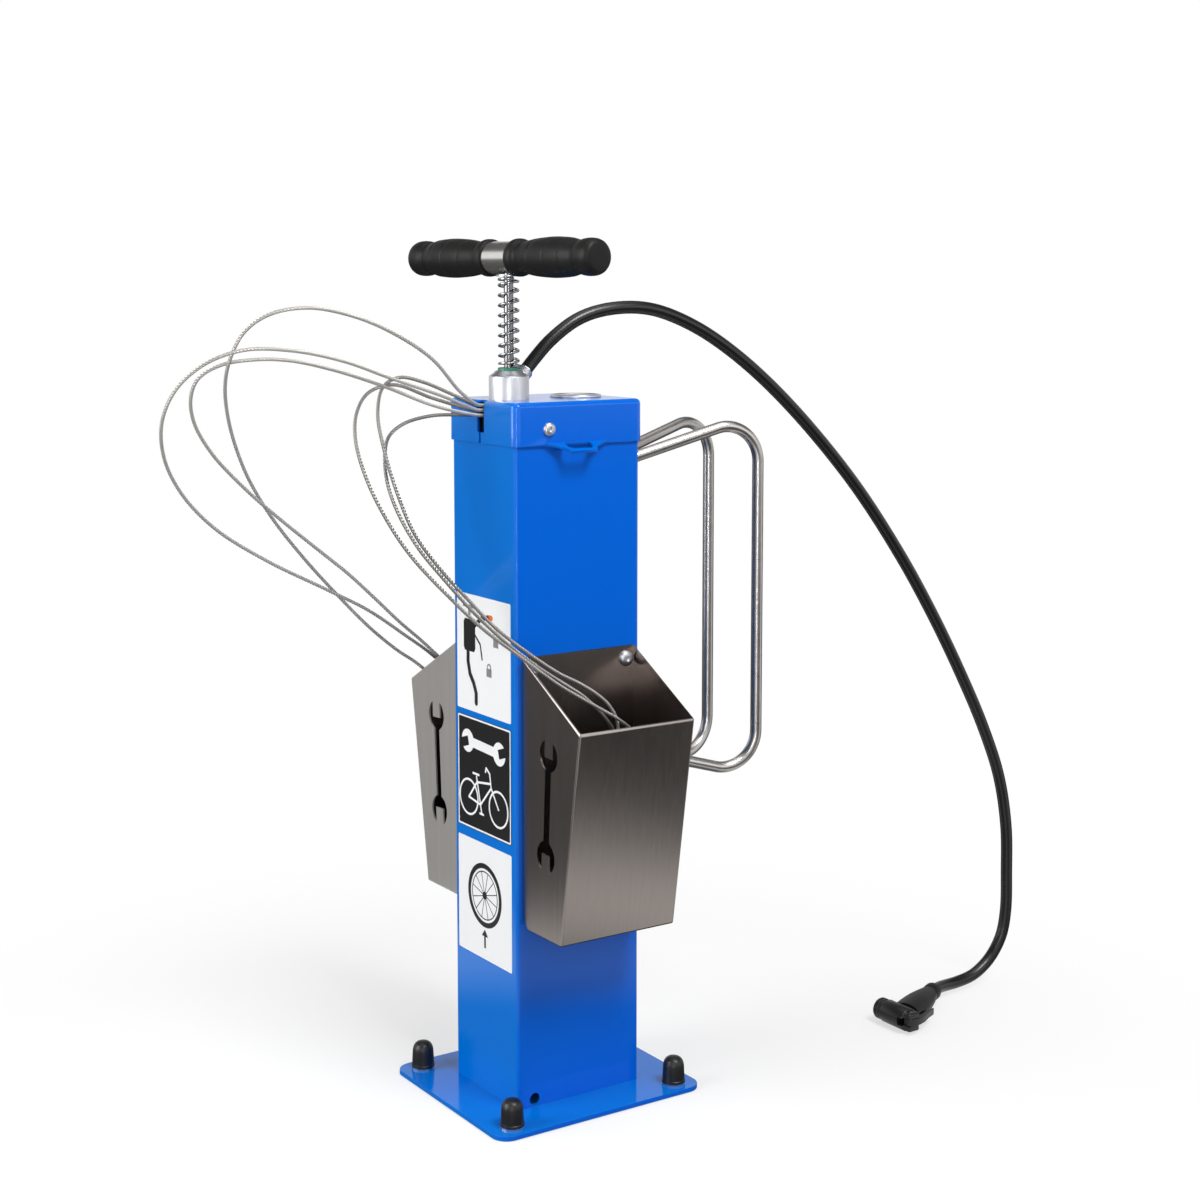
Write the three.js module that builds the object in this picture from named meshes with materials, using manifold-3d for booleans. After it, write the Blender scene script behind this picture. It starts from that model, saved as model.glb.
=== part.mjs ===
// Bicycle repair station: a steel column with a hand pump, tools on ropes, two pockets and a wheel holder.
// Millimetres, +Z up. The origin is the centre of the base plate's underside.
// -Y is the face with the labels, +X and -X carry the pockets, and the wheel holder stands out along +Y.

import * as THREE from 'three';
import Module from 'manifold-3d';

const wasm = await Module();
wasm.setup();

// Values that several pieces share
const gap = 0.3;
const overrun = 2;
const quarterTurn = Math.PI / 2;
const fullTurn = Math.PI * 2;
const smallSides = 10;
const pinSides = 12;
const roundSides = 20;
const gripSides = 16;

// Driving sizes of the stand
const standTop = 585;

// Heights that are measured from the stand's top, up or down, so that these pieces keep their place under it
function fromTop(values) {
  return Object.fromEntries(Object.entries(values).map(([name, value]) => [name, standTop + value]));
}

const base = { width: 180, depth: 200, thickness: 4, corner: 14, insetX: 16, insetY: 20, boltHole: 4.5 };
const column = { width: 100, depth: 120, wall: 2, corner: 3 };
const cover = {
  skirt: 35, sheet: 2, edge: 4, slotLeft: -5, slotRight: 5.6, slotTail: 3, slotDepth: 5,
  ...fromTop({ slotLow: -26 }),
};
const opener = { root: 60, front: 24, reach: 14, thickness: 2, droop: 0.42, centreY: -3.5, mouth: 24, mouthDepth: 10 };
const coverScrew = {
  y: -29.5, head: 5.7, headHeight: 3.1, shank: 2.9, length: 8, hex: 2.2, hexDepth: 1.4,
  ...fromTop({ z: -21.7 }),
};
const plug = { y: 30, flange: 21.5, neck: 18.6, rim: 1.4, height: 2, dome: 1.2, depth: 7 };
const drain = { y: -43.5, width: 9.7, low: 5, high: 15.5 };
const ropeBlock = { width: 28, thickness: 5, notchWidth: 12, ...fromTop({ low: -21, notchLow: -26.5 }) };
const rope = { radius: 1.5, sides: 8, columnX: 2.1, rowStep: 4, ...fromTop({ topRow: -4.2 }) };

// Driving sizes of the pump
const pump = {
  y: -35, barrel: 15, bore: 13.5, foot: 10, rod: 4, rodLow: 64.3,
  ...fromTop({ barrelTop: 13, handleHeight: 115 }),
};
const head = {
  radius: 16.5, collar: 11, sealPocket: 9.5,
  ...fromTop({ low: -13, shoulder: 19.2, collarTop: 23.4, sealFloor: 17.3 }),
};
const seal = { radius: 9.2, ...fromTop({ top: 25.9 }) };
const foot = { flange: 22.7, spigot: 13.2, spigotTop: 20, port: 3, portLow: 12 };
const airPipe = { radius: 2.5, bore: 1.6, offset: 18.6, low: 6.3, ...fromTop({ top: -5 }) };
const pipeBoss = { width: 10, depth: 7, ...fromTop({ top: -3 }) };
const nipple = { boss: 7, bossFrom: 2, bossTo: 7.5, hole: 3.3, shank: 3, holeFrom: 4, collar: 6.2, collarTo: 9.4 };
const nippleSeat = { x: 0, y: 10.5, slope: 0.82, ...fromTop({ z: 17.5 }) };
const spring = { radius: 7.9, wire: 1.1, turns: 10, endPitch: 2.9, stepsPerTurn: 8, sides: 5 };
const washer = { radius: 10.5, thickness: 1.5 };
const piston = { radius: 12.9, low: 58, socket: 64, top: 76, stub: 4, stubLow: 48, keeper: 7, keeperTop: 51.7 };
const cup = { radius: 13.2, low: 52, lip: 11, hollow: 2.5 };
const hub = { radius: 13.35, halfLength: 15, shift: -4.7, bar: 8, barReach: 111.5, rodSocket: 6 };
const grip = { length: 101.7, turn: THREE.MathUtils.degToRad(7.5), bore: 8.3, boreDepth: 97 };

// Driving sizes of the pockets
const pocket = {
  halfWidth: 55, sheet: 1.5, bevel: 8, lowReach: 58, topReach: 86,
  ...fromTop({ low: -428, frontTop: -252, backTop: -204 }),
};
const pocketScrew = {
  y: 46, head: 6.5, headHeight: 3.4, shank: 3, length: 7, hex: 2.4, hexDepth: 1.5, ...fromTop({ z: -215.4 }),
};
const spannerHole = {
  head: 13, shaft: 8.5, jaw: 12, jawDepth: 15, lowX: 36, highX: 40.5, ...fromTop({ lowZ: -360, highZ: -277 }),
};

// Driving sizes of the wheel holder
const hoop = {
  rootX: 11, outerX: 35.7, rod: 5, stud: 4, studIn: 14, studOut: 6, reach: 196, bend: 31, rise: 0.28, bendSteps: 9,
  sides: 10, ...fromTop({ top: -28.9, low: -328.3 }),
};
const hoopNut = { across: 13, thickness: 6.5, inward: 8.8 };

// Driving sizes of the ground anchors and their caps
const anchor = { washer: 9.6, washerThickness: 1.6, hexAcross: 13, hexHeight: 6.5, stud: 4, studTop: 16 };
const cap = { radius: 10, topRadius: 8.8, height: 22, shoulder: 15, bore: 8.1, boreDepth: 15 };

// Helpers that turn geometries into solids and back

// Corners in the same small cell become one, and the faces point outward.
const cellsPerMillimetre = 2000;

function weld(geometry) {
  const position = geometry.attributes.position;
  const index = geometry.index;
  const keys = new Map();
  const points = [];
  const places = [];
  for (let i = 0; i < position.count; i += 1) {
    const point = [position.getX(i), position.getY(i), position.getZ(i)];
    const key = point.map((value) => Math.round(value * cellsPerMillimetre)).join();
    if (!keys.has(key)) {
      keys.set(key, points.length);
      points.push(point);
    }
    places.push(keys.get(key));
  }
  const faces = [];
  const count = index ? index.count : position.count;
  for (let i = 0; i < count; i += 3) {
    const [a, b, c] = [i, i + 1, i + 2].map((corner) => places[index ? index.getX(corner) : corner]);
    if (a !== b && b !== c && c !== a) {
      faces.push([a, b, c]);
    }
  }
  let volume = 0;
  for (const [a, b, c] of faces) {
    const corner = new THREE.Vector3(...points[a]);
    volume += corner.dot(new THREE.Vector3(...points[b]).cross(new THREE.Vector3(...points[c])));
  }
  const outward = volume < 0 ? faces.map(([a, b, c]) => [a, c, b]) : faces;
  return { vertProperties: new Float32Array(points.flat()), triVerts: new Uint32Array(outward.flat()) };
}

function solid(geometry) {
  return new wasm.Manifold(new wasm.Mesh({ numProp: 3, ...weld(geometry) }));
}

function geometryOf(body) {
  const mesh = body.getMesh();
  const flat = new THREE.BufferGeometry();
  flat.setAttribute('position', new THREE.BufferAttribute(new Float32Array(mesh.vertProperties), 3));
  flat.setIndex(new THREE.BufferAttribute(new Uint32Array(mesh.triVerts), 1));
  flat.computeVertexNormals();
  return flat;
}

function joined(first, ...others) {
  return others.reduce((sum, other) => sum.add(other), first);
}

function cutBy(first, ...others) {
  return others.reduce((rest, other) => rest.subtract(other), first);
}

function block(low, high) {
  const size = high.map((value, i) => value - low[i]);
  const centre = high.map((value, i) => (value + low[i]) / 2);
  return solid(new THREE.BoxGeometry(...size).translate(...centre));
}

// A cylinder or cone from one point to another.
function bar(from, to, radius, sides = pinSides, endRadius = radius) {
  const start = new THREE.Vector3(...from);
  const end = new THREE.Vector3(...to);
  const length = start.distanceTo(end);
  const geometry = new THREE.CylinderGeometry(endRadius, radius, length, sides);
  const direction = end.clone().sub(start).normalize();
  geometry.applyQuaternion(new THREE.Quaternion().setFromUnitVectors(new THREE.Vector3(0, 1, 0), direction));
  const middle = start.add(end).multiplyScalar(0.5);
  return solid(geometry.translate(middle.x, middle.y, middle.z));
}

// A profile of [radius, height] points turned about the Z axis.
function turned(profile, sides = roundSides) {
  const points = profile.map(([radius, height]) => new THREE.Vector2(radius, height));
  const onAxis = profile[0][0] === 0;
  if (!onAxis) {
    points.push(points[0].clone());
  }
  return solid(new THREE.LatheGeometry(points, sides).rotateX(quarterTurn));
}

function outline(points) {
  return new THREE.Shape(points.map(([x, y]) => new THREE.Vector2(x, y)));
}

function roundedRectangle(width, depth, radius) {
  const shape = new THREE.Shape();
  const x = width / 2 - radius;
  const y = depth / 2 - radius;
  shape.absarc(x, y, radius, 0, quarterTurn, false);
  shape.absarc(-x, y, radius, quarterTurn, quarterTurn * 2, false);
  shape.absarc(-x, -y, radius, quarterTurn * 2, quarterTurn * 3, false);
  shape.absarc(x, -y, radius, quarterTurn * 3, fullTurn, false);
  return shape;
}

// A flat outline in X and Y, raised from one height to another.
function raised(shape, low, high, curveSegments = 4) {
  const geometry = new THREE.ExtrudeGeometry(shape, { depth: high - low, bevelEnabled: false, curveSegments });
  return solid(geometry.translate(0, 0, low));
}

// A flat outline whose first value is X and second Z, running along Y.
function acrossY(shape, low, high, curveSegments = 6) {
  const geometry = new THREE.ExtrudeGeometry(shape, { depth: high - low, bevelEnabled: false, curveSegments });
  return solid(geometry.rotateX(quarterTurn).translate(0, high, 0));
}

function ringOf(radius, sides) {
  const corners = [];
  for (let i = 0; i < sides; i += 1) {
    const angle = (fullTurn * i) / sides;
    corners.push([radius * Math.cos(angle), radius * Math.sin(angle)]);
  }
  return corners;
}

function tubeAlong(curve, radius, steps, sides) {
  return new THREE.ExtrudeGeometry(outline(ringOf(radius, sides)), { steps, extrudePath: curve });
}

// A solid through rings of [x, y, z] corners, all with as many corners, closed by fans at both ends.
function throughRings(rings) {
  const sides = rings[0].length;
  const faces = [];
  for (let here = sides; here < rings.length * sides; here += sides) {
    const before = here - sides;
    for (let k = 0; k < sides; k += 1) {
      const next = (k + 1) % sides;
      faces.push(before + k, here + k, here + next, before + k, here + next, before + next);
    }
  }
  const last = (rings.length - 1) * sides;
  for (let k = 1; k < sides - 1; k += 1) {
    faces.push(0, k, k + 1, last, last + k + 1, last + k);
  }
  const form = new THREE.BufferGeometry();
  form.setAttribute('position', new THREE.BufferAttribute(new Float32Array(rings.flat(2)), 3));
  form.setIndex(faces);
  return solid(form);
}

function smoothCurve(points) {
  return new THREE.CatmullRomCurve3(points.map((point) => new THREE.Vector3(...point)), false, 'centripetal');
}

function hexRing(across, bore, thickness) {
  const nut = solid(new THREE.CylinderGeometry(
    across / Math.sqrt(3), across / Math.sqrt(3), thickness, 6).rotateX(quarterTurn));
  return cutBy(nut, bar([0, 0, -thickness], [0, 0, thickness], bore));
}

// Radius and height up a button head, in shares of its own radius and height
const crownShares = [[1, 0.25], [0.82, 0.75], [0.5, 1]];

// A button head screw that stands on Z = 0 with its shank below.
function buttonScrew(size) {
  const crown = turned([
    [0, -size.length], [size.shank, -size.length], [size.shank, 0], [size.head, 0],
    ...crownShares.map(([radiusShare, heightShare]) => [size.head * radiusShare, size.headHeight * heightShare]),
    [0, size.headHeight],
  ], pinSides);
  const socket = solid(new THREE.CylinderGeometry(
    size.hex, size.hex, size.hexDepth * 2, 6).rotateX(quarterTurn).translate(0, 0, size.headHeight));
  return cutBy(crown, socket);
}

// Materials and the scene graph
const finishes = {
  bluePaint: { color: 0x005fc8, roughness: 0.35, metalness: 0.1 },
  steel: { color: 0x8a8784, roughness: 0.4, metalness: 0.9 },
  darkSteel: { color: 0x6a6663, roughness: 0.5, metalness: 0.8 },
  chrome: { color: 0xd8d8dc, roughness: 0.15, metalness: 1 },
  zinc: { color: 0xa0a4a8, roughness: 0.45, metalness: 0.9 },
  blackRubber: { color: 0x2c2a29, roughness: 0.8, metalness: 0 },
  blackPlastic: { color: 0x201f1f, roughness: 0.6, metalness: 0 },
  greenSeal: { color: 0x2f8a68, roughness: 0.6, metalness: 0 },
  brass: { color: 0xb58a3c, roughness: 0.35, metalness: 1 },
  ropeSteel: { color: 0xb4b2ae, roughness: 0.45, metalness: 0.9 },
};

const station = new THREE.Group();

function part(name, form, finish, parent = station) {
  const mesh = new THREE.Mesh(
    form.isBufferGeometry ? form : geometryOf(form),
    new THREE.MeshStandardMaterial(finishes[finish]),
  );
  mesh.name = name;
  parent.add(mesh);
  return mesh;
}

function groupAt(x, y, z, parent = station) {
  const group = new THREE.Group();
  group.position.set(x, y, z);
  parent.add(group);
  return group;
}

// Places that follow from the driving sizes
const coverUnderside = standTop - cover.sheet;
const skirtLow = standTop - cover.skirt;
const columnTop = coverUnderside - gap;
const skirtOffset = gap + cover.sheet;
const coverWidth = column.width + skirtOffset * 2;
const coverDepth = column.depth + skirtOffset * 2;
const faceX = column.width / 2;
const faceY = column.depth / 2;
const anchorX = base.width / 2 - base.insetX;
const anchorY = base.depth / 2 - base.insetY;
const sides = [['right', 1], ['left', -1]];
const ropeRows = [0, 1, 2].map((row) => rope.topRow - row * rope.rowStep);
const hoopTopArc = hoop.top - hoop.bend;
const hoopLowArc = hoop.low + hoop.bend;
const hoopRun = Math.hypot(hoop.outerX - hoop.rootX, hoop.reach - column.depth / 2);
const hoopBendRun = hoopRun - hoop.bend;

// Base plate
function basePlate() {
  const plate = raised(roundedRectangle(base.width, base.depth, base.corner), 0, base.thickness);
  const holes = [-1, 1].flatMap((signX) => [-1, 1].map((signY) => {
    const [x, y] = [signX * anchorX, signY * anchorY];
    return bar([x, y, -overrun], [x, y, base.thickness + overrun], base.boltHole);
  }));
  return cutBy(plate, ...holes);
}

// Each hoop is flat and stands splayed, so its places are given by how far out they run from the column's face.
const armAngle = Math.atan(hoop.rise);

function hoopPlace(sign, run, height) {
  const outShare = run / hoopRun;
  return [
    sign * (hoop.rootX + (hoop.outerX - hoop.rootX) * outShare), faceY + (hoop.reach - faceY) * outShare, height];
}

function armPlace(sign, run, upper) {
  const tangentRun = hoopBendRun - hoop.bend * Math.sin(armAngle);
  const tangentZ = hoop.bend * Math.cos(armAngle) - (tangentRun - run) * hoop.rise;
  return hoopPlace(sign, run, upper ? hoopTopArc + tangentZ : hoopLowArc - tangentZ);
}

// Column with the block that grips the ropes behind its notch
function columnTube() {
  const outer = roundedRectangle(column.width, column.depth, column.corner);
  const inner = roundedRectangle(
    column.width - column.wall * 2, column.depth - column.wall * 2, column.corner - column.wall);
  const innerFaceY = -faceY + column.wall;
  let tube = raised(outer, base.thickness, columnTop);
  tube = cutBy(tube, raised(inner, base.thickness - overrun, columnTop + overrun));
  const notchHalf = ropeBlock.notchWidth / 2;
  const notch = block(
    [-notchHalf, -faceY - overrun, ropeBlock.notchLow], [notchHalf, innerFaceY, columnTop + overrun]);
  let gripBlock = block(
    [-ropeBlock.width / 2, innerFaceY, ropeBlock.low],
    [ropeBlock.width / 2, innerFaceY + ropeBlock.thickness, columnTop]);
  for (const x of [-rope.columnX, rope.columnX]) {
    for (const z of ropeRows) {
      const from = [x, innerFaceY - overrun, z];
      const to = [x, innerFaceY + ropeBlock.thickness + overrun, z];
      gripBlock = cutBy(gripBlock, bar(from, to, rope.radius + gap, smallSides));
    }
  }
  tube = joined(cutBy(tube, notch), gripBlock);
  const drainRadius = drain.width / 2;
  const drainLow = drain.low + drainRadius;
  const drainHigh = drain.high - drainRadius;
  const drainFrom = faceX - column.wall - overrun;
  const drainTo = faceX + overrun;
  tube = cutBy(
    tube,
    bar([drainFrom, drain.y, drainLow], [drainTo, drain.y, drainLow], drainRadius),
    bar([drainFrom, drain.y, drainHigh], [drainTo, drain.y, drainHigh], drainRadius),
  );
  for (const [, sign] of sides) {
    const wallFrom = sign * (faceX - column.wall - overrun);
    const wallTo = sign * (faceX + overrun);
    tube = cutBy(tube, bar(
      [wallFrom, coverScrew.y, coverScrew.z], [wallTo, coverScrew.y, coverScrew.z], coverScrew.shank + gap));
    for (const y of [-pocketScrew.y, pocketScrew.y]) {
      tube = cutBy(tube, bar(
        [wallFrom, y, pocketScrew.z], [wallTo, y, pocketScrew.z], pocketScrew.shank + gap));
    }
    for (const upper of [true, false]) {
      tube = cutBy(tube, bar(
        armPlace(sign, -column.wall - overrun, upper), armPlace(sign, overrun, upper), hoop.stud + gap));
    }
  }
  return tube;
}

// Cover with its skirt, rope slot and bottle opener tongue
function openerTongue() {
  const rootHalf = opener.root / 2;
  const frontHalf = opener.front / 2;
  const flareShares = [[0.1, 0.8], [0.3, 0.5], [0.55, 0.18], [1, 0]];
  const upper = flareShares.map(([outShare, widthShare]) => [
    opener.reach * outShare, frontHalf + (rootHalf - frontHalf) * widthShare]);
  const rootX = -cover.sheet / 2;
  const edge = [[rootX, rootHalf], [0, rootHalf], ...upper];
  const mirrored = edge.map(([x, y]) => [x, -y]).reverse();
  const tab = raised(outline([...edge, ...mirrored]), 0, opener.thickness);
  const mouthHalf = opener.mouth / 2;
  const cornerShare = 0.35;
  const corner = opener.mouthDepth * cornerShare;
  const mouthFrom = gap;
  const mouth = raised(outline([
    [mouthFrom, -mouthHalf], [opener.mouthDepth - corner, -mouthHalf], [opener.mouthDepth, -mouthHalf + corner],
    [opener.mouthDepth, mouthHalf - corner], [opener.mouthDepth - corner, mouthHalf], [mouthFrom, mouthHalf],
  ]), -overrun, opener.thickness + overrun);
  return cutBy(tab, mouth)
    .rotate([0, THREE.MathUtils.radToDeg(opener.droop), 0])
    .translate([coverWidth / 2, opener.centreY, skirtLow]);
}

function topCover() {
  const bevel = {
    bevelEnabled: true, bevelThickness: cover.edge, bevelSize: cover.edge, bevelOffset: -cover.edge,
    bevelSegments: 3, curveSegments: 4,
  };
  const cornerShare = 1.5;
  const rise = cover.skirt + cover.edge * 2;
  const outerGeometry = new THREE.ExtrudeGeometry(
    roundedRectangle(coverWidth, coverDepth, cover.edge * cornerShare), { ...bevel, depth: rise });
  outerGeometry.translate(0, 0, standTop - cover.edge - rise);
  const below = block([-coverWidth, -coverDepth, 0], [coverWidth, coverDepth, skirtLow]);
  const cavity = raised(
    roundedRectangle(column.width + gap * 2, column.depth + gap * 2, column.corner),
    skirtLow - overrun, coverUnderside);
  const frontY = -coverDepth / 2;
  const tailX = (cover.slotLeft + cover.slotRight) / 2 - cover.slotTail;
  let shell = cutBy(
    solid(outerGeometry), below, cavity,
    bar([0, pump.y, 0], [0, pump.y, standTop + overrun], head.radius + gap, roundSides),
    bar([0, plug.y, 0], [0, plug.y, standTop + overrun], plug.neck + gap, roundSides),
    block(
      [cover.slotLeft, frontY - overrun, cover.slotLow],
      [cover.slotRight, frontY + cover.slotDepth, standTop + overrun]),
    block(
      [tailX, frontY - overrun, skirtLow - overrun],
      [tailX + cover.slotTail, frontY + cover.sheet + overrun, cover.slotLow + overrun]),
  );
  for (const [, sign] of sides) {
    const from = sign * (faceX - overrun);
    const to = sign * (coverWidth / 2 + overrun);
    shell = cutBy(shell, bar(
      [from, coverScrew.y, coverScrew.z], [to, coverScrew.y, coverScrew.z], coverScrew.shank + gap));
  }
  return joined(shell, openerTongue());
}

// Radius and height over the plug's dome, in shares of its flange and dome
const plugShares = [[0.5, 1.4], [0, 1.6]];

function coverPlug() {
  return turned([
    [0, standTop - plug.depth], [plug.neck, standTop - plug.depth], [plug.neck, standTop],
    [plug.flange, standTop], [plug.flange, standTop + plug.height / 2],
    [plug.flange - plug.rim / 2, standTop + plug.height], [plug.flange - plug.rim * 2, standTop + plug.height],
    [plug.flange - plug.rim * 3, standTop + plug.dome],
    ...plugShares.map(([radiusShare, domeShare]) => [plug.flange * radiusShare, standTop + plug.dome * domeShare]),
  ], roundSides);
}

part('base_plate', basePlate(), 'bluePaint');
part('column', columnTube(), 'bluePaint');
part('top_cover', topCover(), 'bluePaint');
part('cover_plug', coverPlug(), 'chrome').position.set(0, plug.y, 0);
for (const [side, sign] of sides) {
  const screw = part(`cover_screw_${side}`, buttonScrew(coverScrew), 'chrome');
  screw.position.set(sign * coverWidth / 2, coverScrew.y, coverScrew.z);
  screw.rotation.y = sign * quarterTurn;
}

// Ground anchors and their caps
function anchorBolt() {
  const washerTop = anchor.washerThickness;
  const hexTop = washerTop + anchor.hexHeight;
  const corner = anchor.hexAcross / Math.sqrt(3);
  return joined(
    bar([0, 0, -base.thickness + gap], [0, 0, anchor.studTop], anchor.stud, smallSides),
    bar([0, 0, 0], [0, 0, washerTop], anchor.washer, pinSides),
    bar([0, 0, washerTop / 2], [0, 0, hexTop], corner, 6),
  );
}

// Radius and height over a cap's crown, in shares of its top radius and crown
const capShares = [[0.9, 0.45], [0.6, 0.85]];

function anchorCap() {
  const low = anchor.washerThickness;
  const top = low + cap.height;
  const shoulder = low + cap.shoulder;
  const crown = top - shoulder;
  return turned([
    [0, low + cap.boreDepth], [cap.bore, low + cap.boreDepth], [cap.bore, low], [cap.radius, low],
    [cap.topRadius, shoulder],
    ...capShares.map(([radiusShare, riseShare]) => [cap.topRadius * radiusShare, shoulder + crown * riseShare]),
    [0, top],
  ], pinSides);
}

let anchorCount = 0;
for (const signY of [-1, 1]) {
  for (const signX of [-1, 1]) {
    anchorCount += 1;
    const spot = groupAt(signX * anchorX, signY * anchorY, base.thickness);
    part(`anchor_bolt_${anchorCount}`, anchorBolt(), 'zinc', spot);
    part(`anchor_cap_${anchorCount}`, anchorCap(), 'blackPlastic', spot);
  }
}

// Hand pump: everything is turned about the rod's axis
const pumpGroup = groupAt(0, pump.y, 0);
const nippleDirection = new THREE.Vector3(0, Math.cos(nippleSeat.slope), Math.sin(nippleSeat.slope));

function alongNipple(distance) {
  const point = nippleDirection.clone().multiplyScalar(distance);
  return [nippleSeat.x + point.x, nippleSeat.y + point.y, nippleSeat.z + point.z];
}

function footValve() {
  const bodyOf = turned([
    [0, base.thickness], [foot.flange, base.thickness], [foot.flange, pump.foot - gap],
    [foot.spigot, pump.foot - gap], [foot.spigot, foot.spigotTop], [0, foot.spigotTop],
  ]);
  return cutBy(
    bodyOf,
    bar([0, 0, foot.portLow], [0, 0, foot.spigotTop + overrun], foot.port, smallSides),
    bar([0, airPipe.offset, airPipe.low - gap], [0, airPipe.offset, pump.foot], airPipe.radius + gap, smallSides),
  );
}

function pumpHead() {
  const rodBore = pump.rod + gap;
  const shell = turned([
    [pump.barrel + gap, head.low], [head.radius, head.low], [head.radius, head.shoulder],
    [head.collar, head.collarTop], [head.sealPocket, head.collarTop], [head.sealPocket, head.sealFloor],
    [rodBore, head.sealFloor], [rodBore, pump.barrelTop + gap], [pump.barrel + gap, pump.barrelTop + gap],
  ], roundSides);
  const bossHalf = pipeBoss.width / 2;
  const bossFrom = (pump.barrel + head.radius) / 2;
  const bossForm = block([-bossHalf, bossFrom, head.low], [bossHalf, bossFrom + pipeBoss.depth, pipeBoss.top]);
  const pipeRoom = bar(
    [0, airPipe.offset, head.low - overrun], [0, airPipe.offset, airPipe.top + gap], airPipe.radius + gap, smallSides);
  const nippleBoss = bar(alongNipple(nipple.bossFrom), alongNipple(nipple.bossTo), nipple.boss);
  const nippleHole = bar(
    alongNipple(nipple.holeFrom), alongNipple(nipple.bossTo + overrun), nipple.hole, smallSides);
  const sealRoom = bar([0, 0, head.sealFloor], [0, 0, head.collarTop + overrun * 2], head.sealPocket, roundSides);
  const rodRoom = bar([0, 0, head.low], [0, 0, head.collarTop], rodBore, roundSides);
  const barrelRoom = bar([0, 0, head.low - overrun], [0, 0, pump.barrelTop + gap], pump.barrel + gap, roundSides);
  return cutBy(joined(shell, bossForm, nippleBoss), pipeRoom, nippleHole, sealRoom, rodRoom, barrelRoom);
}

function hoseFitting() {
  return joined(
    bar(alongNipple(nipple.holeFrom + gap), alongNipple(nipple.bossTo + gap * 2), nipple.shank, smallSides),
    bar(alongNipple(nipple.bossTo + gap), alongNipple(nipple.collarTo), nipple.collar, 6),
  );
}

part('pump_barrel', turned([
  [pump.bore, pump.foot], [pump.barrel, pump.foot],
  [pump.barrel, pump.barrelTop], [pump.bore, pump.barrelTop],
], roundSides), 'steel', pumpGroup);
part('pump_head', pumpHead(), 'chrome', pumpGroup);
part('foot_valve', footValve(), 'zinc', pumpGroup);
part('air_pipe', turned([
  [airPipe.bore, airPipe.low], [airPipe.radius, airPipe.low],
  [airPipe.radius, airPipe.top], [airPipe.bore, airPipe.top],
], smallSides), 'brass', pumpGroup).position.set(0, airPipe.offset, 0);
part('hose_fitting', hoseFitting(), 'zinc', pumpGroup);
part('rod_seal', turned([
  [pump.rod + gap, head.sealFloor + gap], [seal.radius, head.sealFloor + gap],
  [seal.radius, seal.top], [pump.rod + gap, seal.top],
], roundSides), 'greenSeal', pumpGroup);

// Buffer spring between the seal and the washer under the handle
const washerTop = pump.handleHeight - hub.radius - gap;
const springLow = seal.top + gap;
const springHigh = washerTop - washer.thickness - gap;

function springPoints() {
  const climb = springHigh - springLow - spring.wire * 2;
  const openPitch = (climb - spring.endPitch * 2) / (spring.turns - 2);
  const steps = spring.turns * spring.stepsPerTurn;
  const points = [];
  let height = springLow + spring.wire;
  for (let i = 0; i <= steps; i += 1) {
    const turn = i / spring.stepsPerTurn;
    const angle = turn * fullTurn;
    points.push([spring.radius * Math.cos(angle), spring.radius * Math.sin(angle), height]);
    const pitch = turn < 1 || turn >= spring.turns - 1 ? spring.endPitch : openPitch;
    height += pitch / spring.stepsPerTurn;
  }
  return points;
}

function springForm() {
  return throughRings(springPoints().map(([x, y, z]) => {
    const outward = new THREE.Vector3(x, y, 0).normalize();
    return ringOf(spring.wire, spring.sides).map(([out, rise]) => [x + outward.x * out, y + outward.y * out, z + rise]);
  }));
}

// Least free space between turns of a wound form, from points at least half a turn apart along it.
function leastSelfGap(points, thickness, apart) {
  let least = Infinity;
  for (let i = 0; i < points.length; i += 1) {
    for (let j = i + apart; j < points.length; j += 1) {
      const distance = Math.hypot(...points[i].map((value, axis) => value - points[j][axis]));
      least = Math.min(least, distance - thickness);
    }
  }
  return least;
}

const springGap = leastSelfGap(springPoints(), spring.wire * 2, spring.stepsPerTurn / 2);
console.log(`least gap between turns of the buffer spring: ${springGap.toFixed(2)} mm`);
part('buffer_spring', springForm(), 'chrome', pumpGroup);
part('spring_washer', turned([
  [pump.rod + gap, washerTop - washer.thickness], [washer.radius, washerTop - washer.thickness],
  [washer.radius, washerTop], [pump.rod + gap, washerTop],
], roundSides), 'zinc', pumpGroup);

// Rod, piston and its cup
const rodTop = pump.handleHeight + hub.rodSocket;
part('piston_rod', bar([0, 0, pump.rodLow], [0, 0, rodTop], pump.rod, roundSides), 'chrome', pumpGroup);
part('piston', turned([
  [0, piston.stubLow], [piston.keeper, piston.stubLow], [piston.keeper, piston.keeperTop],
  [piston.stub, piston.keeperTop], [piston.stub, piston.low], [piston.radius, piston.low],
  [piston.radius, piston.top], [pump.rod + gap, piston.top], [pump.rod + gap, piston.socket], [0, piston.socket],
], roundSides), 'zinc', pumpGroup);
part('piston_cup', turned([
  [piston.stub + gap, cup.low + cup.hollow], [cup.lip, cup.low], [cup.radius, cup.low],
  [cup.radius, piston.low - gap], [piston.stub + gap, piston.low - gap],
], roundSides), 'blackRubber', pumpGroup);

// Handle: a steel hub and bar with two rubber grips, turned a little on the rod and not quite centred on it
const handle = groupAt(0, 0, pump.handleHeight, pumpGroup);
handle.rotation.z = grip.turn;

function handleHub() {
  const rodRoom = bar([0, 0, -hub.radius * 2], [0, 0, hub.rodSocket + gap], pump.rod + gap, roundSides);
  return cutBy(joined(
    bar([hub.shift - hub.halfLength, 0, 0], [hub.shift + hub.halfLength, 0, 0], hub.radius, roundSides),
    bar([hub.shift - hub.barReach, 0, 0], [hub.shift + hub.barReach, 0, 0], hub.bar, pinSides),
  ), rodRoom);
}

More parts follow.
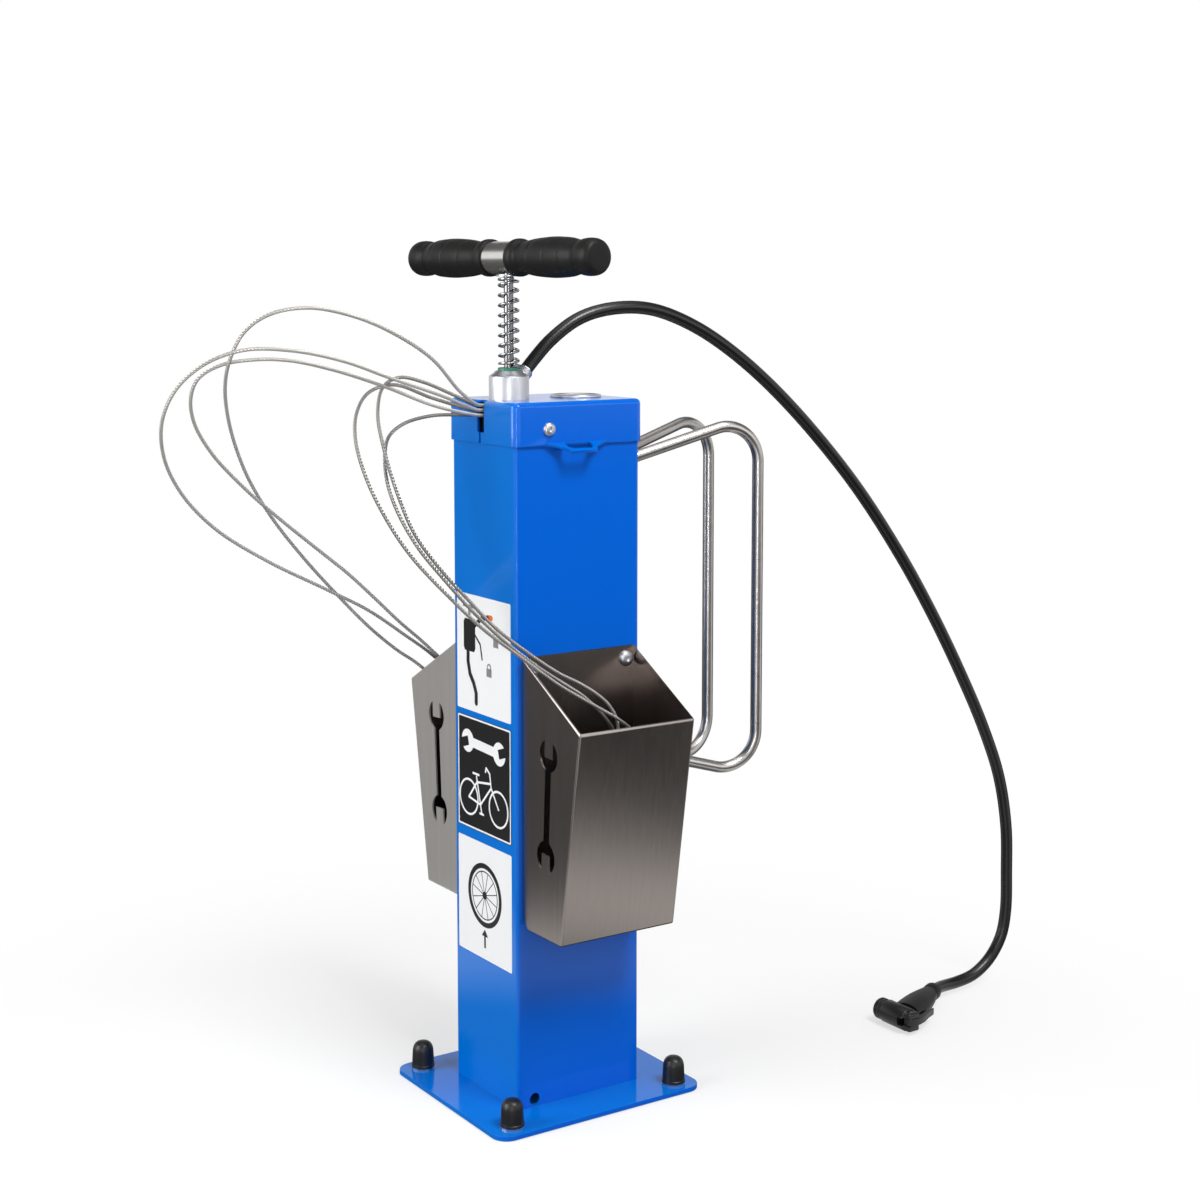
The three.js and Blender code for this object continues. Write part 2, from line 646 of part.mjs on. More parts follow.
// Radii along a grip from its inner flange to its end, in shares of the length and of the fattest radius
const gripFattest = 16.4;
const gripShares = [
  [0.002, 0.86], [0.015, 0.93], [0.06, 0.94], [0.115, 0.79], [0.285, 0.93], [0.295, 0.91], [0.31, 0.945], [0.49, 1],
  [0.5, 0.975], [0.515, 1], [0.655, 0.955], [0.665, 0.93], [0.68, 0.94], [0.795, 0.79], [0.835, 0.87], [0.9, 0.91],
  [0.96, 0.88], [0.99, 0.78],
];

function gripForm() {
  const profile = gripShares.map(([alongShare, radiusShare]) => [
    gripFattest * radiusShare, grip.length * alongShare]);
  return turned([
    [0, grip.boreDepth], [grip.bore, grip.boreDepth], [grip.bore, 0], [profile[0][0], 0],
    ...profile, [gripFattest / 2, grip.length], [0, grip.length],
  ], gripSides);
}

part('handle_hub', handleHub(), 'steel', handle);
for (const [side, sign] of sides) {
  const sleeve = part(`grip_${side}`, gripForm(), 'blackRubber', handle);
  sleeve.position.x = hub.shift + sign * (hub.halfLength + gap);
  sleeve.rotation.y = sign * quarterTurn;
}

// Tool pockets
function pocketForm(sign) {
  const wallX = faceX;
  const frontSlope = (pocket.topReach - pocket.lowReach) / (pocket.frontTop - pocket.low);
  const side = (points) => outline(points.map(([reach, z]) => [sign * (wallX + reach), z]));
  const outer = acrossY(side([
    [0, pocket.low + pocket.bevel], [pocket.bevel, pocket.low], [pocket.lowReach, pocket.low],
    [pocket.topReach, pocket.frontTop], [0, pocket.backTop],
  ]), -pocket.halfWidth, pocket.halfWidth);
  const thin = pocket.sheet;
  const above = pocket.backTop + overrun;
  const innerLow = pocket.lowReach + thin * frontSlope - thin;
  const inner = acrossY(side([
    [thin, pocket.low + pocket.bevel + thin / 2], [pocket.bevel + thin / 2, pocket.low + thin],
    [innerLow, pocket.low + thin], [innerLow + (above - pocket.low - thin) * frontSlope, above], [thin, above],
  ]), -pocket.halfWidth + thin, pocket.halfWidth - thin);
  const hole = spannerHole;
  const axisLow = new THREE.Vector2(hole.lowX, hole.lowZ);
  const axisHigh = new THREE.Vector2(hole.highX, hole.highZ);
  const along = axisHigh.clone().sub(axisLow).normalize();
  const across = new THREE.Vector2(-along.y, along.x);
  const stretch = (from, start, end, half) => side([
    [start, -half], [end, -half], [end, half], [start, half]].map(([u, v]) => {
    const point = from.clone().addScaledVector(along, u).addScaledVector(across, v);
    return [point.x, point.y];
  }));
  const disc = (centre) => {
    const corners = [];
    for (let i = 0; i < pinSides; i += 1) {
      const angle = (fullTurn * i) / pinSides;
      corners.push([centre.x + hole.head * Math.cos(angle), centre.y + hole.head * Math.sin(angle)]);
    }
    return side(corners);
  };
  const cheekFrom = -pocket.halfWidth - overrun;
  const cheekTo = -pocket.halfWidth + thin + overrun;
  const cutout = cutBy(
    joined(
      acrossY(disc(axisLow), cheekFrom, cheekTo),
      acrossY(disc(axisHigh), cheekFrom, cheekTo),
      acrossY(stretch(axisLow, 0, axisLow.distanceTo(axisHigh), hole.shaft / 2), cheekFrom, cheekTo),
    ),
    acrossY(stretch(axisLow, -hole.head * 2, hole.jawDepth - hole.head, hole.jaw / 2), cheekFrom, cheekTo),
    acrossY(stretch(axisHigh, hole.head - hole.jawDepth, hole.head * 2, hole.jaw / 2), cheekFrom, cheekTo),
  );
  const screwRoom = [-pocketScrew.y, pocketScrew.y].map((y) => bar(
    [sign * (wallX - overrun), y, pocketScrew.z],
    [sign * (wallX + thin + overrun), y, pocketScrew.z], pocketScrew.shank + gap));
  return cutBy(outer, inner, cutout, ...screwRoom);
}

for (const [side, sign] of sides) {
  part(`tool_pocket_${side}`, pocketForm(sign), 'darkSteel');
  for (const [place, signY] of [['front', -1], ['rear', 1]]) {
    const screw = part(`pocket_screw_${side}_${place}`, buttonScrew(pocketScrew), 'chrome');
    screw.position.set(sign * (faceX + pocket.sheet), signY * pocketScrew.y, pocketScrew.z);
    screw.rotation.y = sign * quarterTurn;
  }
}

// Wheel holder: two bent rods whose thinner ends go through the column's wall into nuts
function hoopRod(sign) {
  const bend = [];
  for (let i = 0; i <= hoop.bendSteps; i += 1) {
    const angle = (quarterTurn + armAngle) * (1 - i / hoop.bendSteps);
    bend.push([hoopBendRun + hoop.bend * Math.cos(angle), hoop.bend * Math.sin(angle)]);
  }
  const places = [
    armPlace(sign, -column.wall, true),
    ...bend.map(([run, rise]) => hoopPlace(sign, run, hoopTopArc + rise)),
    ...bend.reverse().map(([run, rise]) => hoopPlace(sign, run, hoopLowArc - rise)),
    armPlace(sign, -column.wall, false),
  ].map((place) => new THREE.Vector3(...place));
  const side = new THREE.Vector3(hoop.reach - faceY, -sign * (hoop.outerX - hoop.rootX), 0).normalize();
  return throughRings(places.map((place, i) => {
    const before = places[Math.max(0, i - 1)];
    const after = places[Math.min(places.length - 1, i + 1)];
    const across = after.clone().sub(before).normalize().cross(side);
    return ringOf(hoop.rod, hoop.sides).map(([out, rise]) => (
      place.clone().addScaledVector(side, out).addScaledVector(across, rise).toArray()));
  }));
}

for (const [side, sign] of sides) {
  const studs = [true, false].map((upper) => bar(
    armPlace(sign, -hoop.studIn, upper), armPlace(sign, hoop.studOut, upper), hoop.stud, smallSides));
  part(`wheel_hoop_${side}`, joined(hoopRod(sign).trimByPlane([0, 1, 0], faceY + gap), ...studs), 'steel');
  for (const upper of [true, false]) {
    const nut = part(
      `hoop_nut_${side}_${upper ? 'top' : 'low'}`,
      hexRing(hoopNut.across, hoop.stud + gap, hoopNut.thickness), 'zinc');
    nut.position.set(...armPlace(sign, -hoopNut.inward, upper));
    const along = new THREE.Vector3(...armPlace(sign, 0, upper)).sub(nut.position).normalize();
    nut.quaternion.setFromUnitVectors(new THREE.Vector3(0, 0, 1), along);
  }
}

// The cords' points are written for a stand this high, and move with the real one
const routeTop = 585;
const routeLift = standTop - routeTop;

// Pump hose: leaves the fitting, arches over the wheel holder and comes down to the ground
const hose = { radius: 5.5, steps: 40, sides: 10 };
const hosePoints = [
  [0, -17.8, 609.7], [0, -13, 614.9], [2, 4, 632.5], [5, 30, 650], [8, 60, 658], [11, 98, 657.5], [14, 140, 643.5],
  [18, 185, 617], [22, 240, 573], [27, 310, 502], [31, 365, 432], [34, 405, 372], [37, 440, 312], [39, 470, 255],
  [41, 490, 205], [42, 500, 155], [42, 502, 110], [41.8, 502, 69.5], [41.2, 496.8, 45.1], [40.4, 482.1, 24.9],
  [39.6, 462.5, 13.1], [38.8, 442, 9.5], [39.9, 428.2, 9.7], [43.1, 414.8, 10.9], [47.7, 403, 11.5],
];
const hoseGround = 69.5;

// The stretch on the ground stays there, and the rest follows the fitting.
const hoseRoute = hosePoints.map(([x, y, z]) => {
  const liftShare = THREE.MathUtils.clamp((z - hoseGround) / (routeTop - hoseGround), 0, 1);
  return [x, y, z + routeLift * liftShare];
});
part('pump_hose', solid(tubeAlong(smoothCurve(hoseRoute), hose.radius, hose.steps, hose.sides)), 'blackRubber');

// Chuck at the hose's end, lying on the ground: a nozzle with a seal, a lever on a pin and a rubber sleeve
const chuck = {
  x: 77.2, y: 331.3, z: 11.5, radius: 10.5, mouthEnd: -24, leverEnd: 15, earEnd: 22, earWidth: 17, slot: 7,
  bore: 4.5, boreDepth: 16, pin: 1.5, pinX: 0, pinY: 17, droop: THREE.MathUtils.degToRad(26),
};
const sleeve = { startX: -7, startY: 2, length: 71, wideHalf: 14.5, highHalf: 10.8, tail: 7.2, ring: 8.2, ringLength: 9 };
const lever = { thickness: 6.4, root: 6, reach: 34, fall: 8, tip: 1.6, middle: 3.2 };
const chuckSeal = { radius: 4.2, bore: 2.6, depth: 7 };
const chuckGroup = groupAt(chuck.x, chuck.y, chuck.z);
chuckGroup.rotation.z = -quarterTurn;

function chuckBody(extra = 0) {
  return bar([0, chuck.mouthEnd - extra, 0], [0, chuck.leverEnd + extra, 0], chuck.radius + extra, roundSides);
}

function chuckBodyForm() {
  const earHalf = chuck.earWidth / 2;
  const ears = block([-lever.root - gap, 0, -earHalf], [lever.root + gap, chuck.earEnd, earHalf]);
  const leverRoom = block(
    [-chuck.radius - overrun, chuck.pinY - lever.root - gap * 4, -chuck.slot / 2],
    [chuck.radius + overrun, chuck.earEnd + overrun, chuck.slot / 2]);
  return cutBy(
    joined(chuckBody(), ears), leverRoom,
    bar([0, chuck.mouthEnd - overrun, 0], [0, chuck.mouthEnd + chuck.boreDepth, 0], chuck.bore),
    bar([chuck.pinX, chuck.pinY, -chuck.radius * 2], [chuck.pinX, chuck.pinY, chuck.radius * 2],
      chuck.pin + gap, smallSides),
  );
}

// How far out and down the lever's blade goes, in shares of its reach, fall and thickness
const bladeShares = {
  cheek: 0.4, nose: 0.5, neck: 0.45, neckFall: 0.35, palm: 0.72, tipFall: 1.5,
  innerPalm: 0.7, innerNeck: 0.42, innerFall: 0.4, waist: 1.3,
};

function leverForm() {
  const share = bladeShares;
  const top = chuck.pinY + lever.root;
  const cheek = lever.root * share.cheek;
  const tipTop = top - lever.fall * share.tipFall;
  const blade = outline([
    [lever.root, chuck.pinY - cheek], [lever.root, top - cheek], [lever.root * share.nose, top],
    [-lever.root, top], [-lever.reach * share.neck, top - lever.fall * share.neckFall],
    [-lever.reach * share.palm, top - lever.fall], [-lever.reach, tipTop],
    [-lever.reach - lever.tip, tipTop - lever.tip],
    [-lever.reach * share.innerPalm, top - lever.fall - lever.middle],
    [-lever.reach * share.innerNeck, top - lever.fall * share.innerFall - lever.middle * share.waist],
    [-lever.root, chuck.pinY - cheek], [0, chuck.pinY - lever.root],
  ]);
  const half = lever.thickness / 2;
  const pinRoom = bar([chuck.pinX, chuck.pinY, -chuck.radius], [chuck.pinX, chuck.pinY, chuck.radius],
    chuck.pin + gap, smallSides);
  return cutBy(raised(blade, -half, half), pinRoom);
}

// A tapering oval sleeve that ends in a plain ring where the hose enters it.
function sleeveForm() {
  const stationShares = [[0, 1], [0.25, 0.98], [0.5, 0.8], [0.75, 0.35], [0.86, 0.08]];
  const along = new THREE.Vector3(-Math.cos(chuck.droop), -Math.sin(chuck.droop), 0);
  const across = new THREE.Vector3(-along.y, along.x, 0);
  const start = new THREE.Vector3(sleeve.startX, sleeve.startY, 0);
  const ringFrom = sleeve.length - sleeve.ringLength;
  const rings = stationShares.map(([alongShare, fatShare]) => [
    sleeve.length * alongShare,
    sleeve.tail + (sleeve.wideHalf - sleeve.tail) * fatShare,
    sleeve.tail + (sleeve.highHalf - sleeve.tail) * fatShare,
  ]);
  rings.push([ringFrom, sleeve.ring, sleeve.ring], [sleeve.length, sleeve.ring, sleeve.ring]);
  const form = throughRings(rings.map(([distance, wide, high]) => {
    const centre = start.clone().addScaledVector(along, distance);
    return ringOf(1, pinSides).map(([out, rise]) => {
      const place = centre.clone().addScaledVector(across, wide * out);
      return [place.x, place.y, high * rise];
    });
  }));
  const leverRoom = block(
    [-lever.reach * 2, chuck.pinY - lever.root - gap, -chuck.slot / 2], [0, chuck.earEnd, chuck.slot / 2]);
  return cutBy(form, chuckBody(gap), leverRoom);
}

part('hose_sleeve', sleeveForm(), 'blackRubber', chuckGroup);
part('chuck_body', chuckBodyForm(), 'blackPlastic', chuckGroup);
part('chuck_lever', leverForm(), 'blackPlastic', chuckGroup);
part('chuck_pin', bar(
  [chuck.pinX, chuck.pinY, -chuck.earWidth / 2], [chuck.pinX, chuck.pinY, chuck.earWidth / 2],
  chuck.pin, smallSides), 'zinc', chuckGroup);
const sealHigh = chuck.mouthEnd + chuck.boreDepth - gap;
part('chuck_seal', cutBy(
  bar([0, sealHigh - chuckSeal.depth, 0], [0, sealHigh, 0], chuckSeal.radius),
  bar([0, sealHigh - chuckSeal.depth - overrun, 0], [0, sealHigh + overrun, 0], chuckSeal.bore, smallSides),
), 'blackRubber', chuckGroup);

// Tools: each stands on its pocket's floor with its head down and a rope socket on top
const toolFloor = pocket.low + pocket.sheet + gap;
const socket = { radius: 4, rise: 10, hole: rope.radius + gap * 3, depth: 6 };

function ropeSocket(toolTop) {
  const top = toolTop + socket.rise;
  return {
    stud: bar([0, 0, toolTop - overrun], [0, 0, top], socket.radius, smallSides),
    hole: bar([0, 0, top - socket.depth], [0, 0, top + overrun], socket.hole, smallSides),
  };
}

const screwdriver = { shaft: 3, shaftLength: 70, handle: 10, handleLength: 61, blade: 1, bladeHeight: 9 };
const screwdriverTop = screwdriver.shaftLength + screwdriver.handleLength;

// Radius of the handle, and how far that is from its lower end, in shares of the handle's radius and length
const driverShares = [[0.6, 0], [0.75, 0.1], [1, 0.27], [1, 0.8], [0.8, 1]];

function screwdriverForm(cross) {
  const size = screwdriver;
  const body = turned([
    [0, 0], [size.shaft, 0], [size.shaft, size.shaftLength],
    ...driverShares.map(([radiusShare, riseShare]) => [
      size.handle * radiusShare, size.shaftLength + size.handleLength * riseShare]),
    [0, screwdriverTop],
  ], smallSides);
  const { stud, hole } = ropeSocket(screwdriverTop);
  const pare = (signX, signY) => {
    const low = [signX * size.blade, signY * size.blade, -overrun];
    const far = size.shaft * 2;
    const high = [signX * far, signY * far, size.bladeHeight];
    return block(low.map((value, i) => Math.min(value, high[i])), low.map((value, i) => Math.max(value, high[i])));
  };
  const flatPare = [-1, 1].map((sign) => block(
    [-size.shaft * 2, Math.min(sign * size.blade, sign * size.shaft * 2), -overrun],
    [size.shaft * 2, Math.max(sign * size.blade, sign * size.shaft * 2), size.bladeHeight]));
  const crossPare = [-1, 1].flatMap((signX) => [-1, 1].map((signY) => pare(signX, signY)));
  return cutBy(joined(body, stud), hole, ...(cross ? crossPare : flatPare));
}

// Adjustable wrench, jaws down. Its jaw slides along Y and its worm turns about Y.
const wrench = {
  thickness: 8, headLow: 30.3, headTop: 50, headFrom: -19, headTo: 11, fixedFrom: -19, fixedTo: -8, handle: 7,
  handleTop: 116.5, groove: 1.8, grooveTop: 34, jawTo: 5, railTo: 11, wormLow: -3, wormHigh: 7,
  wormRadius: 4, wormHeight: 38.7, wormRoot: 3.2, wormRidges: 3,
};

function wrenchBody() {
  const size = wrench;
  const half = size.thickness / 2;
  const head3d = block([-half, size.headFrom, size.headLow], [half, size.headTo, size.headTop]);
  const fixedJaw = block([-half, size.fixedFrom, 0], [half, size.fixedTo, size.headTop]);
  const handleBar = block([-half, -size.handle, size.headTop - overrun], [half, size.handle, size.handleTop]);
  const groove = block(
    [-size.groove, size.fixedTo, size.headLow - overrun], [size.groove, size.headTo + overrun, size.grooveTop]);
  const wormRoom = block(
    [-half - overrun, size.wormLow - gap, size.wormHeight - size.wormRadius - gap],
    [half + overrun, size.wormHigh + gap, size.wormHeight + size.wormRadius + gap]);
  const { stud, hole } = ropeSocket(size.handleTop);
  return cutBy(joined(head3d, fixedJaw, handleBar, stud), groove, wormRoom, hole);
}

function wrenchJaw() {
  const size = wrench;
  const half = size.thickness / 2;
  const rail = size.groove - gap;
  const from = size.fixedTo + gap;
  return joined(
    block([-half, from, 0], [half, size.jawTo, size.headLow - gap]),
    block([-rail, from, size.headLow - overrun], [rail, size.railTo, size.grooveTop - gap]),
  );
}

// How far along one ridge of the worm its slopes begin and end, in shares of the pitch
const ridgeShares = { crestFrom: 0.3, crestTo: 0.6, end: 0.9 };

function wrenchWorm() {
  const size = wrench;
  const profile = [[0, size.wormLow]];
  const pitch = (size.wormHigh - size.wormLow) / size.wormRidges;
  for (let i = 0; i < size.wormRidges; i += 1) {
    const low = size.wormLow + pitch * i;
    profile.push(
      [size.wormRoot, low], [size.wormRadius, low + pitch * ridgeShares.crestFrom],
      [size.wormRadius, low + pitch * ridgeShares.crestTo], [size.wormRoot, low + pitch * ridgeShares.end]);
  }
  profile.push([size.wormRoot, size.wormHigh], [0, size.wormHigh]);
  return turned(profile, pinSides);
}

const spanner = { thickness: 5, head: 14, jaw: 13, jawTop: 20, shaft: 5, ring: 9, ringBore: 5, ringHeight: 107.5 };
const spannerTop = spanner.ringHeight + spanner.ring;

function spannerForm() {
  const size = spanner;
  const half = size.thickness / 2;
  const alongX = (height, radius) => bar([-half, 0, height], [half, 0, height], radius, roundSides);
  const { stud, hole } = ropeSocket(spannerTop);
  const jawRoom = block([-half - overrun, -size.jaw / 2, -overrun], [half + overrun, size.jaw / 2, size.jawTop]);
  const ringRoom = bar(
    [-half - overrun, 0, size.ringHeight], [half + overrun, 0, size.ringHeight], size.ringBore, roundSides);
  return cutBy(
    joined(alongX(size.head, size.head), alongX(size.ringHeight, size.ring), stud,
      block([-half, -size.shaft, size.head], [half, size.shaft, size.ringHeight])),
    jawRoom, ringRoom, hole,
  );
}

const hexKey = { radius: 3.2, shortArm: 24, height: 131, floorShare: 0.2 };

function hexKeyForm() {
  const size = hexKey;
  const { stud, hole } = ropeSocket(size.height);
  return cutBy(joined(
    bar([0, 0, size.radius * size.floorShare], [0, 0, size.height], size.radius, 6),
    bar([size.shortArm, 0, size.radius], [0, 0, size.radius], size.radius, 6),
    stud,
  ), hole);
}

const tyreLever = { halfWidth: 9, thickness: 5, height: 131, hook: 12, lip: 3 };

function tyreLeverForm() {
  const size = tyreLever;
  const half = size.thickness / 2;
  const profile = outline([
    [-half, size.hook], [-half + size.lip, 0], [half + size.lip, 0], [half, size.hook],
    [half, size.height], [-half, size.height],
  ]);
  const { stud, hole } = ropeSocket(size.height);
  return cutBy(joined(acrossY(profile, -size.halfWidth, size.halfWidth), stud), hole);
}

// Where each tool stands, by its rope's letter
const toolPlaces = { A: [-100, -28], B: [-101, 0], C: [-82, -14], D: [103, 2], E: [103, 26], F: [86, 14] };

function standingAt(letter) {
  return groupAt(toolPlaces[letter][0], toolPlaces[letter][1], toolFloor);
}

part('tyre_lever', tyreLeverForm(), 'blackPlastic', standingAt('A'));
part('hex_key', hexKeyForm(), 'darkSteel', standingAt('B'));
part('open_end_spanner', spannerForm(), 'chrome', standingAt('C'));
part('screwdriver_flat', screwdriverForm(false), 'blackPlastic', standingAt('D'));
part('screwdriver_cross', screwdriverForm(true), 'blackPlastic', standingAt('E'));
const wrenchGroup = standingAt('F');
part('wrench_body', wrenchBody(), 'chrome', wrenchGroup);
part('wrench_jaw', wrenchJaw(), 'chrome', wrenchGroup);
const worm = part('wrench_worm', wrenchWorm(), 'darkSteel', wrenchGroup);
worm.position.z = wrench.wormHeight;
worm.rotation.x = -quarterTurn;

// Steel ropes from the block behind the slot to the tools' sockets
const ropeRoutes = {
  A: [
    [2.1, -66, 581.5], [3, -83, 593], [6, -109, 619], [8, -144, 640], [6, -178, 654], [1, -215, 661], [-8, -243, 656],
    [-18, -259, 643], [-30, -266, 622], [-43, -265, 600], [-57, -256, 570], [-70, -240, 536], [-79, -224, 511],
    [-87, -204, 485], [-97, -174, 452], [-106, -143, 421], [-115, -106, 386], [-121, -76, 362], [-123, -57, 349],
    [-120, -43, 336], [-112, -33, 321], [-103, -28.5, 309],
  ],
  B: [
    [2.1, -66, 577.2], [1, -99, 590], [-3, -145, 606], [-6, -181, 619], [-11, -223, 628], [-19, -259, 629],
    [-30, -286, 619], [-44, -304, 600], [-60, -310, 574], [-75, -303, 544], [-85, -285, 514], [-92, -255, 484],
    [-96, -209, 454], [-99, -152, 424], [-103, -113, 403], [-111, -73, 376], [-117, -46, 357], [-114, -24, 336],
    [-105, -7, 318], [-101.5, -0.8, 307],
  ],
  C: [
    [2.1, -66, 573], [-2, -104, 582], [-9, -144, 598], [-17, -185, 612], [-23, -220, 620], [-30, -247, 621],
    [-39, -270, 617], [-49, -284, 607], [-58, -287, 592], [-65, -282, 572], [-70, -266, 547], [-75, -236.5, 517],
    [-79, -206, 491], [-84, -168, 461], [-87, -139, 438], [-91, -113, 415], [-97, -86, 391], [-100, -60, 369],
    [-97, -38, 346], [-90, -21, 320], [-84, -14.5, 303],
  ],
  D: [
    [-2.6, -66, 581.8], [-10, -85, 591], [-19, -104, 600], [-26, -122, 604], [-29, -135, 597], [-26, -142, 577],
    [-16, -141.5, 546], [-4, -136, 511], [8, -128, 481], [21, -113, 454], [35, -95, 429], [48, -77, 406],
    [62, -55, 385.5], [74, -34, 369], [81, -20, 361], [87, -9, 353], [92, 1, 343], [97, 6, 330], [102, 4, 313],
  ],
  E: [
    [-3.1, -66, 577], [-17, -97, 587], [-30, -125, 598], [-36, -145, 592], [-35, -156, 577], [-28, -161, 555],
    [-15, -158, 524], [-1, -147, 491], [13, -133, 463], [33.5, -109, 430], [47.5, -88, 406], [61.5, -66, 386],
    [78, -38, 361.5], [88, -22, 350], [96, -7, 340], [102, 6, 331], [104.5, 19, 319], [103.3, 25.4, 308],
  ],
  F: [
    [-2.1, -66, 572.9], [-6, -80, 573.5], [-13, -101, 573], [-20, -122, 567], [-21, -135, 557], [-21.5, -138.3, 543],
    [-13, -141, 521.7], [-1, -138.5, 499], [13, -128, 471], [27.5, -111, 444], [41, -92, 418], [53.5, -72, 395.5],
    [65, -50, 375.5], [76, -32, 361.5], [84, -16, 349], [89, -3, 335], [89.5, 8, 319], [86.5, 13.3, 301],
  ],
};
const toolTops = {
  A: tyreLever.height, B: hexKey.height, C: spannerTop, D: screwdriverTop, E: screwdriverTop, F: wrench.handleTop,
};
const ropeStart = { A: [1, 0], B: [1, 1], C: [1, 2], D: [-1, 0], E: [-1, 1], F: [-1, 2] };
const ropeStep = 11.5;

for (const letter of Object.keys(ropeRoutes)) {
  const [sideSign, row] = ropeStart[letter];
  const startX = sideSign * rope.columnX;
  const startY = -faceY + column.wall + ropeBlock.thickness - gap;
  const [toolX, toolY] = toolPlaces[letter];
  const socketTop = toolFloor + toolTops[letter] + socket.rise;
  const free = ropeRoutes[letter].map(([x, y, z]) => [x, y, z + routeLift]);
  const curve = smoothCurve([
    [startX, startY, ropeRows[row]], [startX, -faceY, ropeRows[row]], ...free,
    [toolX, toolY, socketTop + gap], [toolX, toolY, socketTop - socket.depth + gap],
  ]);
  const steps = Math.round(curve.getLength() / ropeStep);
  part(`tool_rope_${letter.toLowerCase()}`, solid(tubeAlong(curve, rope.radius, steps, rope.sides)), 'ropeSteel');
}

export default station;
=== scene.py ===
"""Bicycle repair station: the looks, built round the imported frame. Metres, +Z up."""
import math

import bmesh
import bpy
from mathutils import Matrix, Vector

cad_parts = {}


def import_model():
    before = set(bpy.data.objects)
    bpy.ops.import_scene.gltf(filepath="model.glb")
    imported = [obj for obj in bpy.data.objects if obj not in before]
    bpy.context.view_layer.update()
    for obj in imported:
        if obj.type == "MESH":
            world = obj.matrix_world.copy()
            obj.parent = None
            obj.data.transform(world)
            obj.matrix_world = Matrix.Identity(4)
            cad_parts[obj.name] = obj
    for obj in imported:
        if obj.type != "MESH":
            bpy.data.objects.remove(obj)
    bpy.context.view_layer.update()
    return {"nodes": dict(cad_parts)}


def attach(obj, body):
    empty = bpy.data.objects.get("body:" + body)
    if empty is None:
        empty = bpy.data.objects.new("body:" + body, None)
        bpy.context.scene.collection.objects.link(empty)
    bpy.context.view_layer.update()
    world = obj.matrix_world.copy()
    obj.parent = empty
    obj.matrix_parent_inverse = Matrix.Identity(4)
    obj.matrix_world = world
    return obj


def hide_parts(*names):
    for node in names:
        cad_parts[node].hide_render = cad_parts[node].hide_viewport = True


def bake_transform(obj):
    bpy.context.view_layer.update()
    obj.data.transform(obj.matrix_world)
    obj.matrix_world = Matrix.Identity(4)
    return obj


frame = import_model()

# Shapes are worked out in millimetres, and link_mesh turns them to the frame's metres
MM = 0.001
FULL_TURN = math.tau
HALF_TURN = math.pi
QUARTER_TURN = math.pi / 2
GAP = 0.3
X_AXIS = Vector((1, 0, 0))
Y_AXIS = Vector((0, 1, 0))
Z_AXIS = Vector((0, 0, 1))
SIDES = (("right", 1), ("left", -1))


# Camera, at the photograph's viewing angle

PHOTO_SIDE_PX = 1200
FOCAL_PX = 2015.79
HORIZON_ROW_PX = 480
SENSOR_MM = 36
CAMERA_PLACE = (1.41064, -0.88974, 0.68576)
CAMERA_YAW = 0.5899
CAMERA_PITCH = 0.1012
NEAREST_SEEN = 0.05
FARTHEST_SEEN = 60


def make_camera():
    data = bpy.data.cameras.new("photo_camera")
    data.sensor_width = SENSOR_MM
    data.lens = FOCAL_PX / PHOTO_SIDE_PX * SENSOR_MM
    data.shift_y = (HORIZON_ROW_PX - PHOTO_SIDE_PX / 2) / PHOTO_SIDE_PX
    data.clip_start = NEAREST_SEEN
    data.clip_end = FARTHEST_SEEN
    level = math.cos(CAMERA_PITCH)
    forward = Vector((-math.cos(CAMERA_YAW) * level, math.sin(CAMERA_YAW) * level, -math.sin(CAMERA_PITCH)))
    bpy.context.scene.camera = aimed("photo_camera", data, CAMERA_PLACE, forward)


def aimed(name, data, place, forward):
    """A camera or light at a place, looking forward."""
    obj = bpy.data.objects.new(name, data)
    obj.location = place
    obj.rotation_mode = "QUATERNION"
    obj.rotation_quaternion = forward.to_track_quat("-Z", "Y")
    bpy.context.collection.objects.link(obj)
    return obj


# Places and outlines

def metres(place):
    return tuple(value * MM for value in place)


def shift(place):
    return Matrix.Translation(metres(place))


def turn_to(direction):
    """Turns +Z to a direction."""
    return Z_AXIS.rotation_difference(direction).to_matrix().to_4x4()


def around(centre, radius, angle):
    return (centre[0] + radius * math.cos(angle), centre[1] + radius * math.sin(angle))


def arc(centre, radius, start, sweep, steps):
    """Points of an arc from the angle start, round by sweep."""
    return [around(centre, radius, start + sweep * k / steps) for k in range(steps + 1)]


def circle(radius, steps, centre=(0, 0)):
    return arc(centre, radius, 0, FULL_TURN, steps)[:-1]


def rounded_rectangle(width, depth, radius, steps=6, middle=(0, 0)):
    points = []
    for quarter, (sx, sy) in enumerate(((1, 1), (-1, 1), (-1, -1), (1, -1))):
        corner = (middle[0] + sx * (width / 2 - radius), middle[1] + sy * (depth / 2 - radius))
        points += arc(corner, radius, QUARTER_TURN * quarter, QUARTER_TURN, steps)
    return points


SPLINE_STEPS = 24


